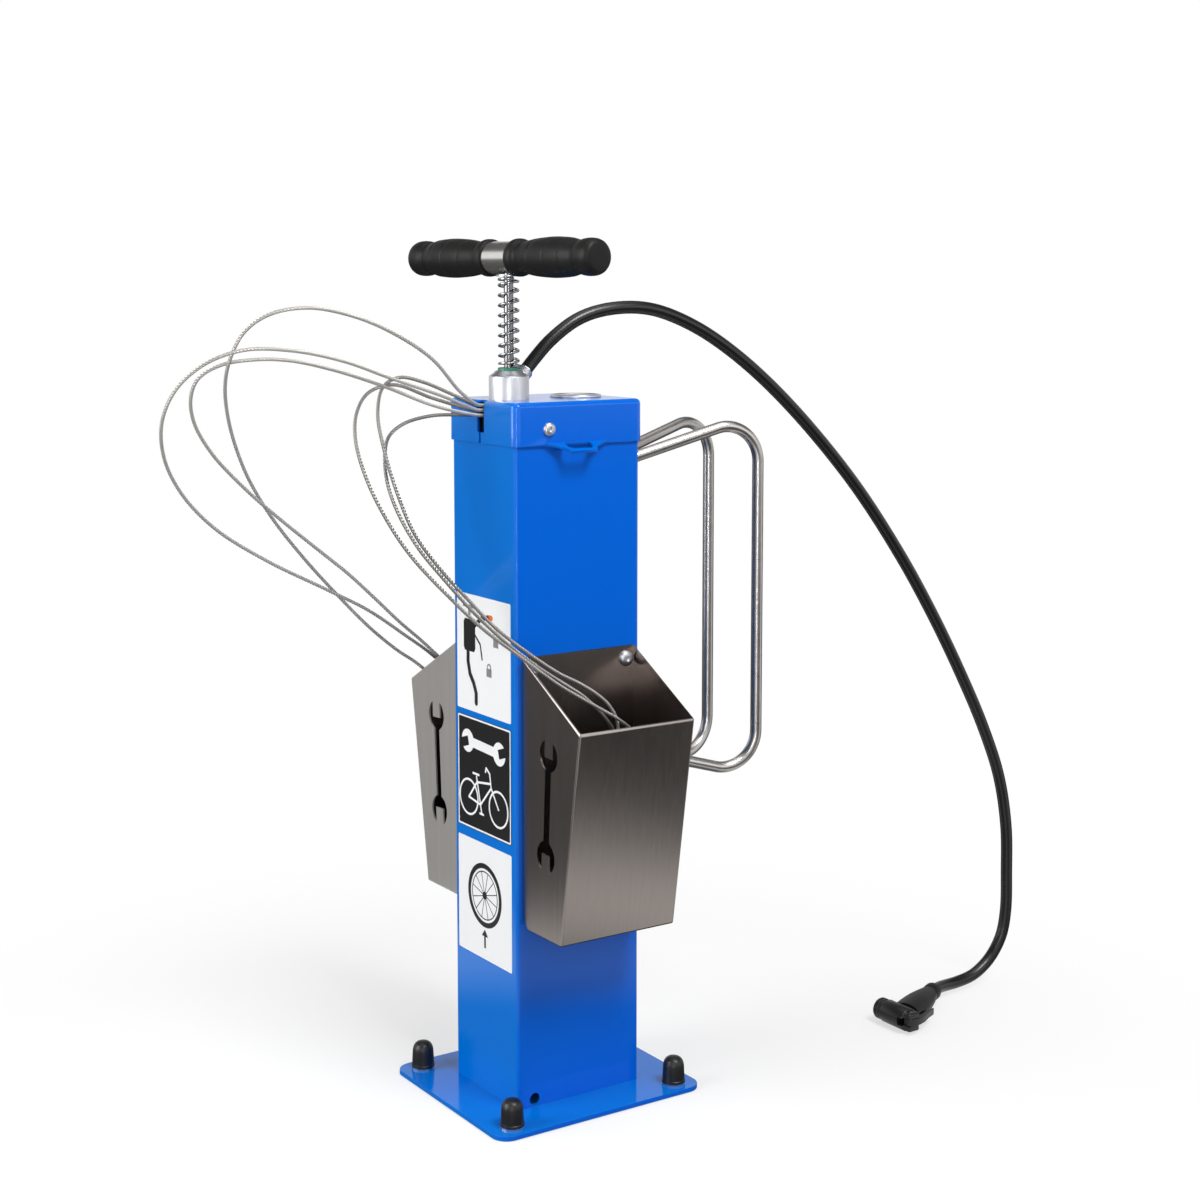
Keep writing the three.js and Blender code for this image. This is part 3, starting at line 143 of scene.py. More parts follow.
def smooth_points(points, spacing):
    """A centripetal spline through given points, at an even spacing."""
    points = [Vector(point) for point in points]
    ring = [points[0] * 2 - points[1], *points, points[-1] * 2 - points[-2]]
    fine = []
    for four in zip(ring, ring[1:], ring[2:], ring[3:]):
        knots = [0.0]
        for a, b in zip(four, four[1:]):
            knots.append(knots[-1] + math.sqrt((b - a).length))
        for step in range(SPLINE_STEPS):
            t = knots[1] + (knots[2] - knots[1]) * step / SPLINE_STEPS
            row = four
            for reach in (1, 2):
                row = [
                    a.lerp(b, (t - knots[i]) / (knots[i + reach] - knots[i]))
                    for i, (a, b) in enumerate(zip(row, row[1:]))]
            fine.append(row[0].lerp(row[1], (t - knots[1]) / (knots[2] - knots[1])))
    fine.append(points[-1])
    lengths = [0.0]
    for a, b in zip(fine, fine[1:]):
        lengths.append(lengths[-1] + (b - a).length)
    count = max(2, round(lengths[-1] / spacing))
    even = []
    k = 0
    for i in range(count + 1):
        target = lengths[-1] * i / count
        while k < len(lengths) - 2 and lengths[k + 1] < target:
            k += 1
        even.append(fine[k].lerp(fine[k + 1], (target - lengths[k]) / (lengths[k + 1] - lengths[k])))
    return even


# Meshes

# Corners closer than this, in metres, are one corner
SAME_PLACE = 1e-7
# A face of this many square metres is wide enough to be shaded as a flat one
WIDE_FACE = 0.0008
SHARP_ANGLE = 35
BEVEL_ANGLE = 40


def link_mesh(name, verts, faces, smooth_angle=SHARP_ANGLE):
    """A mesh object from plain lists, smooth except where faces meet at a sharp angle."""
    mesh = bpy.data.meshes.new(name)
    mesh.from_pydata([metres(vert) for vert in verts], [], faces)
    mesh.validate()
    bm = bmesh.new()
    bm.from_mesh(mesh)
    bmesh.ops.remove_doubles(bm, verts=bm.verts, dist=SAME_PLACE)
    bmesh.ops.recalc_face_normals(bm, faces=bm.faces)
    bm.to_mesh(mesh)
    bm.free()
    return link_object(name, mesh, smooth_angle)


def link_object(name, mesh, smooth_angle):
    smooth(mesh, smooth_angle)
    obj = bpy.data.objects.new(name, mesh)
    bpy.context.collection.objects.link(obj)
    return obj


def smooth(mesh, angle):
    mesh.polygons.foreach_set("use_smooth", [True] * len(mesh.polygons))
    mesh.set_sharp_from_angle(angle=math.radians(angle))


def apply_modifiers(obj):
    graph = bpy.context.evaluated_depsgraph_get()
    graph.update()
    mesh = bpy.data.meshes.new_from_object(obj.evaluated_get(graph))
    old = obj.data
    obj.modifiers.clear()
    obj.data = mesh
    bpy.data.meshes.remove(old)


def bevelled(obj, width, segments=2, angle=BEVEL_ANGLE):
    """Rounds the sharp edges, and keeps the flat faces flat in the shading."""
    bevel = obj.modifiers.new("edges", "BEVEL")
    bevel.width = width * MM
    bevel.segments = segments
    bevel.limit_method = "ANGLE"
    bevel.angle_limit = math.radians(angle)
    bevel.harden_normals = True
    bevel.use_clamp_overlap = True
    apply_modifiers(obj)
    mesh = obj.data
    normals = [Vector(corner.vector) for corner in mesh.corner_normals]
    for face in mesh.polygons:
        if face.area > WIDE_FACE:
            for loop in face.loop_indices:
                normals[loop] = face.normal.copy()
    mesh.normals_split_custom_set(normals)
    return obj


def combined(obj, operation, others):
    for other in others:
        change = obj.modifiers.new(operation, "BOOLEAN")
        change.operation = operation
        change.solver = "EXACT"
        change.object = other
        apply_modifiers(obj)
        smooth(obj.data, SHARP_ANGLE)
        mesh = other.data
        bpy.data.objects.remove(other)
        bpy.data.meshes.remove(mesh)
    return obj


def cut_by(obj, *cutters):
    return combined(obj, "DIFFERENCE", cutters)


def join_to(obj, *others):
    return combined(obj, "UNION", others)


def moved(obj, matrix):
    obj.data.transform(matrix)
    return obj


def turned(name, profile, steps, place=(0, 0, 0), direction=Z_AXIS, smooth_angle=SHARP_ANGLE):
    """A profile of (radius, height) points turned about a line through place. It closes on itself
    unless it starts on the axis."""
    count = len(profile)
    spans = count - 1 if profile[0][0] == 0 else count
    put = Matrix.Translation(place) @ turn_to(direction)
    verts = []
    faces = []
    for step in range(steps):
        verts += [put @ Vector((*around((0, 0), r, FULL_TURN * step / steps), z)) for r, z in profile]
        here = step * count
        there = (step + 1) % steps * count
        for k in range(spans):
            after = (k + 1) % count
            faces.append((here + k, there + k, there + after, here + after))
    return link_mesh(name, verts, faces, smooth_angle)


def rod_between(start, end, radius, steps=24):
    start = Vector(start)
    way = Vector(end) - start
    return turned("rod", [(0, 0), (radius, 0), (radius, way.length), (0, way.length)], steps, start, way)


def box_between(low, high):
    corners = [(x, y, z) for x in (low[0], high[0]) for y in (low[1], high[1]) for z in (low[2], high[2])]
    faces = [(0, 1, 3, 2), (4, 6, 7, 5), (0, 4, 5, 1), (2, 3, 7, 6), (0, 2, 6, 4), (1, 5, 7, 3)]
    return link_mesh("box", corners, faces)


def skin(name, rings, smooth_angle=SHARP_ANGLE):
    """A closed body through rings of points."""
    count = len(rings[0])
    last = count * (len(rings) - 1)
    faces = [tuple(range(count)), tuple(range(last, last + count))]
    for start in range(0, last, count):
        for k in range(count):
            after = (k + 1) % count
            faces.append((start + k, start + after, start + count + after, start + count + k))
    return link_mesh(name, [place for ring in rings for place in ring], faces, smooth_angle)


def prism(name, outline, low, high):
    """A flat outline of (x, y) points raised from low to high."""
    return skin(name, [[(x, y, height) for x, y in outline] for height in (low, high)])


def prism_along_y(name, outline, low, high):
    """A flat outline of (x, z) points drawn out from low to high along Y."""
    return skin(name, [[(x, y, z) for x, z in outline] for y in (low, high)])


def swept(name, points, section, smooth_angle=60):
    """A closed tube along points, without twist. section(distance) gives its (u, v) outline there."""
    tangents = [(b - a).normalized() for a, b in zip([points[0], *points], [*points[1:], points[-1]])]
    side = tangents[0].orthogonal().normalized()
    rings = []
    distance = 0.0
    for i, (point, tangent) in enumerate(zip(points, tangents)):
        if i:
            side = tangents[i - 1].rotation_difference(tangent) @ side
            distance += (point - points[i - 1]).length
        side = (side - tangent * side.dot(tangent)).normalized()
        up = tangent.cross(side)
        rings.append([point + side * u + up * v for u, v in section(distance)])
    return skin(name, rings, smooth_angle)


def round_section(radius, sides):
    outline = circle(radius, sides)
    return lambda distance: outline


# Materials, one function for each kind

MATERIALS = {}
WHITE = (1, 1, 1, 1)


def grey(level):
    return (level, level, level, 1)


def linear(colour):
    """An sRGB colour of 0 to 255 as linear values."""
    shares = [value / 255 for value in colour]
    return (*[share / 12.92 if share <= 0.04045 else ((share + 0.055) / 1.055) ** 2.4 for share in shares], 1.0)


class Tree:
    """The node tree of a material or a world, built from its sources to its end."""

    def __init__(self, owner):
        owner.use_nodes = True
        self.tree = owner.node_tree
        self.tree.nodes.clear()
        self.place = self.add("TexCoord").node.outputs

    def add(self, kind, inputs=None, out=0, **settings):
        """A node's output. Each of its inputs takes a value or another node's output."""
        node = self.tree.nodes.new("ShaderNode" + kind)
        for key, value in settings.items():
            setattr(node, key, value)
        for key, value in (inputs or {}).items():
            if isinstance(value, bpy.types.NodeSocket):
                self.tree.links.new(value, node.inputs[key])
            else:
                node.inputs[key].default_value = value
        return node.outputs[out]

    def end(self, kind, shader):
        self.tree.links.new(shader, self.tree.nodes.new("ShaderNode" + kind).inputs["Surface"])

    def noise(self, scale, detail, stretch=(1, 1, 1), roughness=0.5):
        place = self.add("Mapping", {"Vector": self.place["Object"], "Scale": stretch})
        return self.add("TexNoise", {"Vector": place, "Scale": scale, "Detail": detail, "Roughness": roughness})

    def spread(self, value, low, high, start=0.0, end=1.0, **settings):
        """A value from start to end, spread between low and high."""
        return self.add("MapRange", {
            "Value": value, "From Min": start, "From Max": end, "To Min": low, "To Max": high}, **settings)

    def mix(self, share, first, second):
        return self.add("Mix", {0: share, 6: first, 7: second}, 2, data_type="RGBA")

    def mix_shaders(self, share, first, second):
        return self.add("MixShader", {0: share, 1: first, 2: second})

    def ramp(self, value, levels):
        """Grey levels at positions from 0 to 1."""
        colour = self.add("ValToRGB", {"Fac": value})
        stops = colour.node.color_ramp.elements
        stops[0].position, stops[1].position = levels[0][0], levels[-1][0]
        for position, _ in levels[1:-1]:
            stops.new(position)
        for stop, (_, level) in zip(stops, levels):
            stop.color = grey(level)
        return colour

    def rays(self, *kinds):
        """1 for the rays of these kinds."""
        path = self.add("LightPath").node.outputs
        total = path[kinds[0]]
        for kind in kinds[1:]:
            total = self.add("Math", {0: total, 1: path[kind]}, operation="MAXIMUM")
        return total

    def bump(self, height, distance, strength):
        """A relief of so many millimetres."""
        return self.add("Bump", {"Height": height, "Distance": distance * MM, "Strength": strength})

    def dress(self, colour, roughness, normal=None, metallic=0.0, specular=0.5):
        """Ends a material in one shader."""
        inputs = {"Base Color": colour, "Roughness": roughness, "Metallic": metallic, "Specular IOR Level": specular}
        if normal:
            inputs["Normal"] = normal
        self.end("OutputMaterial", self.add("BsdfPrincipled", inputs))


def new_material(name):
    """The node tree of a new material, which is kept under its name."""
    MATERIALS[name] = bpy.data.materials.new(name)
    return Tree(MATERIALS[name])


def finish(name, dark, light, grain, rough, bump=None, fine=None, shine=None, **facts):
    """A colour and a roughness that vary with a noise. The bump and the roughness can have a noise of their
    own, in fine and shine."""
    n = new_material(name)
    broad = n.noise(*grain)
    gloss = n.noise(*shine) if shine else broad
    normal = n.bump(n.noise(*fine) if fine else broad, *bump) if bump else None
    n.dress(n.mix(broad, linear(dark), linear(light)), n.spread(gloss, *rough), normal, **facts)


def blue_paint():
    """Powder coat with its fine orange peel. The faces turned away from +X are painted a little greener than those
    towards +X: painted light, for the different light on the two sides.
    """
    n = new_material("blue_paint")
    # Painted light: the tone changes with the side a face is turned to, as the light on the two sides differs
    painted_light_side = n.add("SeparateXYZ", {0: n.place["Normal"]}, "X")
    broad = n.noise(9, 2)
    away = n.mix(broad, linear((0, 107, 201)), linear((0, 112, 206)))
    towards = n.mix(broad, linear((0, 93, 206)), linear((0, 98, 211)))
    peel = n.bump(n.noise(420, 1), 0.02, 0.15)
    n.dress(n.mix(painted_light_side, away, towards), n.spread(n.noise(60, 2), 0.11, 0.15), peel, specular=0.35)


def painted_slot_shade():
    """Painted shade: near-black paint for the faces inside the rope slot, where only shade falls."""
    n = new_material("painted_slot_shade")
    n.dress(n.mix(n.noise(80, 2), linear((8, 9, 14)), linear((14, 15, 20))), 0.8, specular=0.1)


def brushed(name, dark, light, stretch, rough, bump=(0.01, 0.4), metallic=1.0):
    """Satin steel with its grain drawn out along one axis."""
    finish(name, dark, light, (60, 5, stretch, 0.65), rough, bump, metallic=metallic)


def sheet_steel(name, dark, light, metallic=1.0):
    """Brushed sheet with its grain upright."""
    brushed(name, dark, light, (5, 5, 0.12), (0.22, 0.28), (0.005, 0.3), metallic)


def plated(name, tint, rough, metallic=1.0):
    """Plated or drawn metal with faint smears."""
    finish(name, [int(value * 0.96) for value in tint], tint, (30, 2), rough, metallic=metallic)


def rubber(name, dark, light, rough, grain, specular):
    finish(name, dark, light, (35, 4), rough, (0.01, 0.3), (grain, 2), specular=specular)


def moulded(name, dark, light):
    finish(name, dark, light, (60, 3), (0.36, 0.46), (0.02, 0.3), (700, 1))


def printed(name, colour):
    """Ink under a clear film, with the film's faint ripple."""
    paler = [min(255, int(value * 0.98) + 2) for value in colour]
    finish(name, colour, paler, (40, 2), (0.37, 0.47), (0.02, 0.2), (120, 1), (120, 2), specular=0.3)


def make_materials():
    blue_paint()
    painted_slot_shade()
    brushed("stainless", (176, 173, 170), (202, 200, 197), (1, 1, 0.08), (0.24, 0.34))
    brushed("rod_steel", (178, 175, 172), (204, 201, 198), (2, 2, 2), (0.24, 0.34))
    brushed("hub_steel", (210, 208, 205), (222, 220, 217), (10, 0.4, 0.4), (0.2, 0.28), (0.003, 0.4))
    # Painted light: the left pocket's steel is painted lighter and less metallic than the right one's, for the light
    # that falls on it
    sheet_steel("pocket_right", (150, 142, 137), (166, 158, 153))
    # Painted shade: a darker copy of the pocket steel for the faces inside the pockets
    sheet_steel("pocket_painted_shade", (142, 133, 129), (156, 147, 142))
    sheet_steel("pocket_left", (160, 157, 153), (178, 175, 171), 0.35)
    plated("polished", (232, 233, 236), (0.06, 0.12))
    plated("head_steel", (206, 207, 213), (0.36, 0.42))
    plated("spring_wire", (180, 180, 182), (0.14, 0.2), 0.9)
    plated("rod_chrome", (122, 121, 122), (0.1, 0.16))
    plated("zinc_plate", (182, 186, 190), (0.24, 0.34))
    plated("brass_pipe", (196, 158, 84), (0.2, 0.32))
    # Painted light and shade: a lighter and a darker copy of one rope steel
    plated("rope_steel", (186, 183, 178), (0.3, 0.4), 0.5)
    plated("rope_painted_shade", (140, 137, 133), (0.3, 0.4), 0.8)
    rubber("black_rubber", (19, 18, 18), (26, 25, 24), (0.42, 0.52), 900, 0.2)
    rubber("hose_rubber", (14, 14, 14), (20, 20, 20), (0.28, 0.34), 200, 0.5)
    moulded("black_plastic", (13, 13, 14), (19, 19, 20))
    moulded("green_seal", (30, 104, 84), (46, 132, 106))
    printed("label_white", (236, 237, 238))
    printed("label_black", (20, 20, 22))
    printed("label_grey", (128, 130, 134))
    printed("label_orange", (222, 108, 40))


def painted(obj, material):
    obj.data.materials.clear()
    obj.data.materials.append(MATERIALS[material])


def repaint(obj, material, chosen):
    """Gives a second material to the faces that chosen picks by their centre and normal."""
    obj.data.materials.append(MATERIALS[material])
    for face in obj.data.polygons:
        if chosen(face.center / MM, face.normal):
            face.material_index = 1


def piece(obj, material, *nodes, body="stand", slot=None):
    """Gives a finished piece its material and its body, and hides the CAD nodes it stands for; the slot is not used.
    """
    painted(obj, material)
    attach(obj, body)
    if nodes:
        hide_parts(*nodes)
    return obj


# Faces of a node that meet at less than this are one flat face
FLAT_ANGLE = 0.6
NODE_SAME_PLACE = 1e-6


def refined(node, material, width, body="stand"):
    """A copy of a CAD node with its flat faces whole and its edges rounded."""
    bm = bmesh.new()
    bm.from_mesh(frame["nodes"][node].data)
    bmesh.ops.remove_doubles(bm, verts=bm.verts, dist=NODE_SAME_PLACE)
    bmesh.ops.dissolve_limit(bm, angle_limit=math.radians(FLAT_ANGLE), verts=bm.verts, edges=bm.edges)
    mesh = bpy.data.meshes.new(f"{node}_form")
    bm.to_mesh(mesh)
    bm.free()
    form = link_object(f"{node}_form", mesh, BEVEL_ANGLE)
    return piece(bevelled(form, width), material, node, body=body)


# Cords: their points are the part's own, in metres

HOSE_RADIUS = 5.5
HOSE_SPACING = 6
HOSE_SIDES = 24
HOSE_ROUTE = [
    (0, -0.0178, 0.6097), (0, -0.013, 0.6149), (0.002, 0.004, 0.6325), (0.005, 0.03, 0.65),
    (0.008, 0.06, 0.658), (0.011, 0.098, 0.6575), (0.014, 0.14, 0.6435), (0.018, 0.185, 0.617),
    (0.022, 0.24, 0.573), (0.027, 0.31, 0.502), (0.031, 0.365, 0.432), (0.034, 0.405, 0.372),
    (0.037, 0.44, 0.312), (0.039, 0.47, 0.255), (0.041, 0.49, 0.205), (0.042, 0.5, 0.155),
    (0.042, 0.502, 0.11), (0.0418, 0.502, 0.0695), (0.0412, 0.4968, 0.0451), (0.0404, 0.4821, 0.0249),
    (0.0396, 0.4625, 0.0131), (0.0388, 0.442, 0.0095), (0.0399, 0.4282, 0.0097), (0.0431, 0.4148, 0.0109),
    (0.0477, 0.403, 0.0115),
]
ROPE_RADIUS = 1.5
ROPE_SPACING = 1.4
ROPE_STRANDS = 6
ROPE_LAY = 17
STRAND_LEAN = 0.4464 * HALF_TURN
# The ropes to the left pocket are painted lighter than the others as painted light, since they catch more light; the
# others get a darker copy as painted shade
LIT_ROPES = "abc"
ROPE_ROUTES = {
    "a": [
        (0.0021, -0.0533, 0.5808), (0.0021, -0.06, 0.5808),
        (0.0021, -0.066, 0.5815), (0.003, -0.083, 0.593), (0.006, -0.109, 0.619), (0.008, -0.144, 0.64),
        (0.006, -0.178, 0.654), (0.001, -0.215, 0.661), (-0.008, -0.243, 0.656), (-0.018, -0.259, 0.643),
        (-0.03, -0.266, 0.622), (-0.043, -0.265, 0.6), (-0.057, -0.256, 0.57), (-0.07, -0.24, 0.536),
        (-0.079, -0.224, 0.511), (-0.087, -0.204, 0.485), (-0.097, -0.174, 0.452), (-0.106, -0.143, 0.421),
        (-0.115, -0.106, 0.386), (-0.121, -0.076, 0.362), (-0.123, -0.057, 0.349), (-0.12, -0.043, 0.336),
        (-0.112, -0.033, 0.321), (-0.103, -0.0285, 0.309), (-0.1, -0.028, 0.3001), (-0.1, -0.028, 0.2941),
    ],
    "b": [
        (0.0021, -0.0533, 0.5768), (0.0021, -0.06, 0.5768),
        (0.0021, -0.066, 0.5772), (0.001, -0.099, 0.59), (-0.003, -0.145, 0.606), (-0.006, -0.181, 0.619),
        (-0.011, -0.223, 0.628), (-0.019, -0.259, 0.629), (-0.03, -0.286, 0.619), (-0.044, -0.304, 0.6),
        (-0.06, -0.31, 0.574), (-0.075, -0.303, 0.544), (-0.085, -0.285, 0.514), (-0.092, -0.255, 0.484),
        (-0.096, -0.209, 0.454), (-0.099, -0.152, 0.424), (-0.103, -0.113, 0.403), (-0.111, -0.073, 0.376),
        (-0.117, -0.046, 0.357), (-0.114, -0.024, 0.336), (-0.105, -0.007, 0.318), (-0.1015, -0.0008, 0.307),
        (-0.101, 0, 0.3001), (-0.101, 0, 0.2941),
    ],
    "c": [
        (0.0021, -0.0533, 0.5728), (0.0021, -0.06, 0.5728),
        (0.0021, -0.066, 0.573), (-0.002, -0.104, 0.582), (-0.009, -0.144, 0.598), (-0.017, -0.185, 0.612),
        (-0.023, -0.22, 0.62), (-0.03, -0.247, 0.621), (-0.039, -0.27, 0.617), (-0.049, -0.284, 0.607),
        (-0.058, -0.287, 0.592), (-0.065, -0.282, 0.572), (-0.07, -0.266, 0.547), (-0.075, -0.2365, 0.517),
        (-0.079, -0.206, 0.491), (-0.084, -0.168, 0.461), (-0.087, -0.139, 0.438), (-0.091, -0.113, 0.415),
        (-0.097, -0.086, 0.391), (-0.1, -0.06, 0.369), (-0.097, -0.038, 0.346), (-0.09, -0.021, 0.32),
        (-0.084, -0.0145, 0.303), (-0.082, -0.014, 0.2856), (-0.082, -0.014, 0.2796),
    ],
    "d": [
        (-0.0021, -0.0533, 0.5808), (-0.0021, -0.06, 0.5808),
        (-0.0026, -0.066, 0.5818), (-0.01, -0.085, 0.591), (-0.019, -0.104, 0.6), (-0.026, -0.122, 0.604),
        (-0.029, -0.135, 0.597), (-0.026, -0.142, 0.577), (-0.016, -0.1415, 0.546), (-0.004, -0.136, 0.511),
        (0.008, -0.128, 0.481), (0.021, -0.113, 0.454), (0.035, -0.095, 0.429), (0.048, -0.077, 0.406),
        (0.062, -0.055, 0.3855), (0.074, -0.034, 0.369), (0.081, -0.02, 0.361), (0.087, -0.009, 0.353),
        (0.092, 0.001, 0.343), (0.097, 0.006, 0.33), (0.102, 0.004, 0.313), (0.103, 0.002, 0.3001),
        (0.103, 0.002, 0.2941),
    ],
    "e": [
        (-0.0021, -0.0533, 0.5768), (-0.0021, -0.06, 0.5768),
        (-0.0031, -0.066, 0.577), (-0.017, -0.097, 0.587), (-0.03, -0.125, 0.598), (-0.036, -0.145, 0.592),
        (-0.035, -0.156, 0.577), (-0.028, -0.161, 0.555), (-0.015, -0.158, 0.524), (-0.001, -0.147, 0.491),
        (0.013, -0.133, 0.463), (0.0335, -0.109, 0.43), (0.0475, -0.088, 0.406), (0.0615, -0.066, 0.386),
        (0.078, -0.038, 0.3615), (0.088, -0.022, 0.35), (0.096, -0.007, 0.34), (0.102, 0.006, 0.331),
        (0.1045, 0.019, 0.319), (0.1033, 0.0254, 0.308), (0.103, 0.026, 0.3001), (0.103, 0.026, 0.2941),
    ],
    "f": [
        (-0.0021, -0.0533, 0.5728), (-0.0021, -0.06, 0.5728),
        (-0.0021, -0.066, 0.5729), (-0.006, -0.08, 0.5735), (-0.013, -0.101, 0.573), (-0.02, -0.122, 0.567),
        (-0.021, -0.135, 0.557), (-0.0215, -0.1383, 0.543), (-0.013, -0.141, 0.5217), (-0.001, -0.1385, 0.499),
        (0.013, -0.128, 0.471), (0.0275, -0.111, 0.444), (0.041, -0.092, 0.418), (0.0535, -0.072, 0.3955),
        (0.065, -0.05, 0.3755), (0.076, -0.032, 0.3615), (0.084, -0.016, 0.349), (0.089, -0.003, 0.335),
        (0.0895, 0.008, 0.319), (0.0865, 0.0133, 0.301), (0.086, 0.014, 0.2856), (0.086, 0.014, 0.2796),
    ],
}


def rope_section(distance):
    """Round strands side by side, turned on by the rope's lay."""
    strand = ROPE_RADIUS / 3
    outline = []
    for k in range(ROPE_STRANDS):
        middle = FULL_TURN * (distance / ROPE_LAY + k / ROPE_STRANDS)
        centre = around((0, 0), ROPE_RADIUS - strand, middle)
        outline += arc(centre, strand, middle - STRAND_LEAN, STRAND_LEAN * 2, 2)
    return outline


def cord(name, route, spacing, section, smooth_angle, radius, material, slot, node, **facts):
    """A tube along a route."""
    points = smooth_points(route, spacing * MM)
    tube = swept(name, [point / MM for point in points], section, smooth_angle)
    piece(tube, material, node, slot=slot)


def tool_ropes():
    for letter, route in ROPE_ROUTES.items():
        # Painted light and shade: the ropes to the left pocket get the lighter copy of the rope steel, the others the
        # darker one
        cord(
            f"wire_rope_{letter}", route, ROPE_SPACING, rope_section, 75, ROPE_RADIUS,
            "rope_steel" if letter in LIT_ROPES else "rope_painted_shade", "rope_steel", f"tool_rope_{letter}",
            far_end="object", stiffness="stiff")


def pump_hose(chuck_pieces):
    cord(
        "air_hose", HOSE_ROUTE, HOSE_SPACING, round_section(HOSE_RADIUS, HOSE_SIDES), 60, HOSE_RADIUS,
        "hose_rubber", "black_rubber", "pump_hose", far_end="fitting", stiffness="medium", with_pieces=chuck_pieces)


# Stand

BASE_WIDTH = 180
BASE_DEPTH = 200
BASE_THICKNESS = 4
BASE_CORNER = 14
ANCHORS = [(x, y) for y in (-80, 80) for x in (-74, 74)]
BOLT_HOLE = 4.5
STAND_TOP = 585
FACE_X = 50
FACE_Y = 60


def base_plate():
    plate = prism("floor_plate", rounded_rectangle(BASE_WIDTH, BASE_DEPTH, BASE_CORNER, 12), 0, BASE_THICKNESS)
    cut_by(plate, *[
        rod_between((x, y, -BASE_THICKNESS), (x, y, BASE_THICKNESS * 2), BOLT_HOLE, 32) for x, y in ANCHORS])
    piece(bevelled(plate, 0.7, 3), "blue_paint", "base_plate")


# The grip block behind the rope slot, whose faces inside the slot are painted near-black as painted shade
SLOT_SHADE_LOW = (-7, -59.9, 550)
SLOT_SHADE_HIGH = (7, -45, 584)


def column():
    # Painted shade: the faces of the grip block inside the rope slot get a near-black second material
    repaint(
        refined("column", "blue_paint", 0.35), "painted_slot_shade",
        lambda centre, _: all(low < value < high for low, value, high in zip(SLOT_SHADE_LOW, centre, SLOT_SHADE_HIGH)))


CAP_PROFILE = [
    (8.1, 15), (8.1, 0), (9.6, 0), (10, 0.4), (9.9, 2.2), (9.5, 2.6), (9.45, 3.2), (9.2, 9), (8.9, 14.2),
    (8.65, 16), (8.05, 18), (6.9, 19.9), (5.3, 21.2), (3.2, 21.85), (0.0001, 22), (0.0001, 15),
]
CAP_SEAT = 5.6


def anchor_caps():
    for count, place in enumerate(ANCHORS, 1):
        cap = turned(f"bolt_cap_{count}", CAP_PROFILE, 48, (*place, CAP_SEAT))
        piece(cap, "black_plastic", f"anchor_cap_{count}")


# Of a screw: its head's radius and height, its shank's radius and length, its socket's radius and depth
COVER_SCREW = (5.7, 3.1, 2.9, 8, 2.2, 1.4)
COVER_SCREW_PLACE = (52.3, -29.5, 563.3)
POCKET_SCREW = (6.5, 3.4, 3, 7, 2.4, 1.5)
POCKET_SCREW_OUT = 51.5
POCKET_SCREWS_Y = (("front", -46), ("rear", 46))
POCKET_SCREW_HEIGHT = 369.6
CROWN_SHARES = [(1, 0), (1, 0.22), (0.97, 0.42), (0.88, 0.68), (0.72, 0.88), (0.5, 1), (0, 1)]


def socket_screw(name, node, sizes, place, sign):
    """A button head with a hex socket, on a straight shank."""
    radius, height, shank, length, socket, depth = sizes
    profile = [(0, -length), (shank, -length), (shank, 0)] + [(radius * r, height * z) for r, z in CROWN_SHARES]
    screw = cut_by(turned(name, profile, 48), prism("socket", circle(socket, 6), height - depth, height * 2))
    x, y, z = place
    moved(screw, shift((sign * x, y, z)) @ turn_to(X_AXIS * sign))
    piece(screw, "head_steel", node, slot="polished")


def screws():
    for side, sign in SIDES:
        socket_screw(f"cover_bolt_{side}", f"cover_screw_{side}", COVER_SCREW, COVER_SCREW_PLACE, sign)
        for end, y in POCKET_SCREWS_Y:
            place = (POCKET_SCREW_OUT, y, POCKET_SCREW_HEIGHT)
            socket_screw(f"pocket_bolt_{side}_{end}", f"pocket_screw_{side}_{end}", POCKET_SCREW, place, sign)


PLUG_PROFILE = [
    (0, -7), (18.6, -7), (18.6, 0), (21.2, 0), (21.5, 0.3), (21.5, 1.2), (21.2, 1.8), (20.6, 2), (18.9, 2),
    (18.3, 1.8), (17.9, 1.3), (17.2, 1.2), (14, 1.5), (10.8, 1.7), (5, 1.9), (0, 1.92),
]
PLUG_Y = 30


def cover_plug():
    plug = turned("cable_plug", PLUG_PROFILE, 96, (0, PLUG_Y, STAND_TOP))
    piece(plug, "head_steel", "cover_plug", slot="polished")


# Tool pockets

POCKET_HALF = 55
POCKET_SHEET = 1.5
POCKET_LOW = 157
POCKET_BEVEL = 8
POCKET_LOW_REACH = 58
POCKET_TOP_REACH = 86
POCKET_FRONT_TOP = 333
POCKET_BACK_TOP = 381
POCKET_SLOPE = (POCKET_TOP_REACH - POCKET_LOW_REACH) / (POCKET_FRONT_TOP - POCKET_LOW)
SCREW_HOLE = 3.3
HOLE_HEAD = 13
HOLE_SHAFT = 8.5
HOLE_JAW = 12
HOLE_JAW_DEPTH = 15
HOLE_LOW = Vector((36, 225))
HOLE_HIGH = Vector((40.5, 308))
OVERRUN = 3


def pocket_prism(name, points, sign, low, high):
    """An outline of (reach, z) points on one side of the column, drawn out along Y."""
    return prism_along_y(name, [(sign * (FACE_X + reach), z) for reach, z in points], low, high)


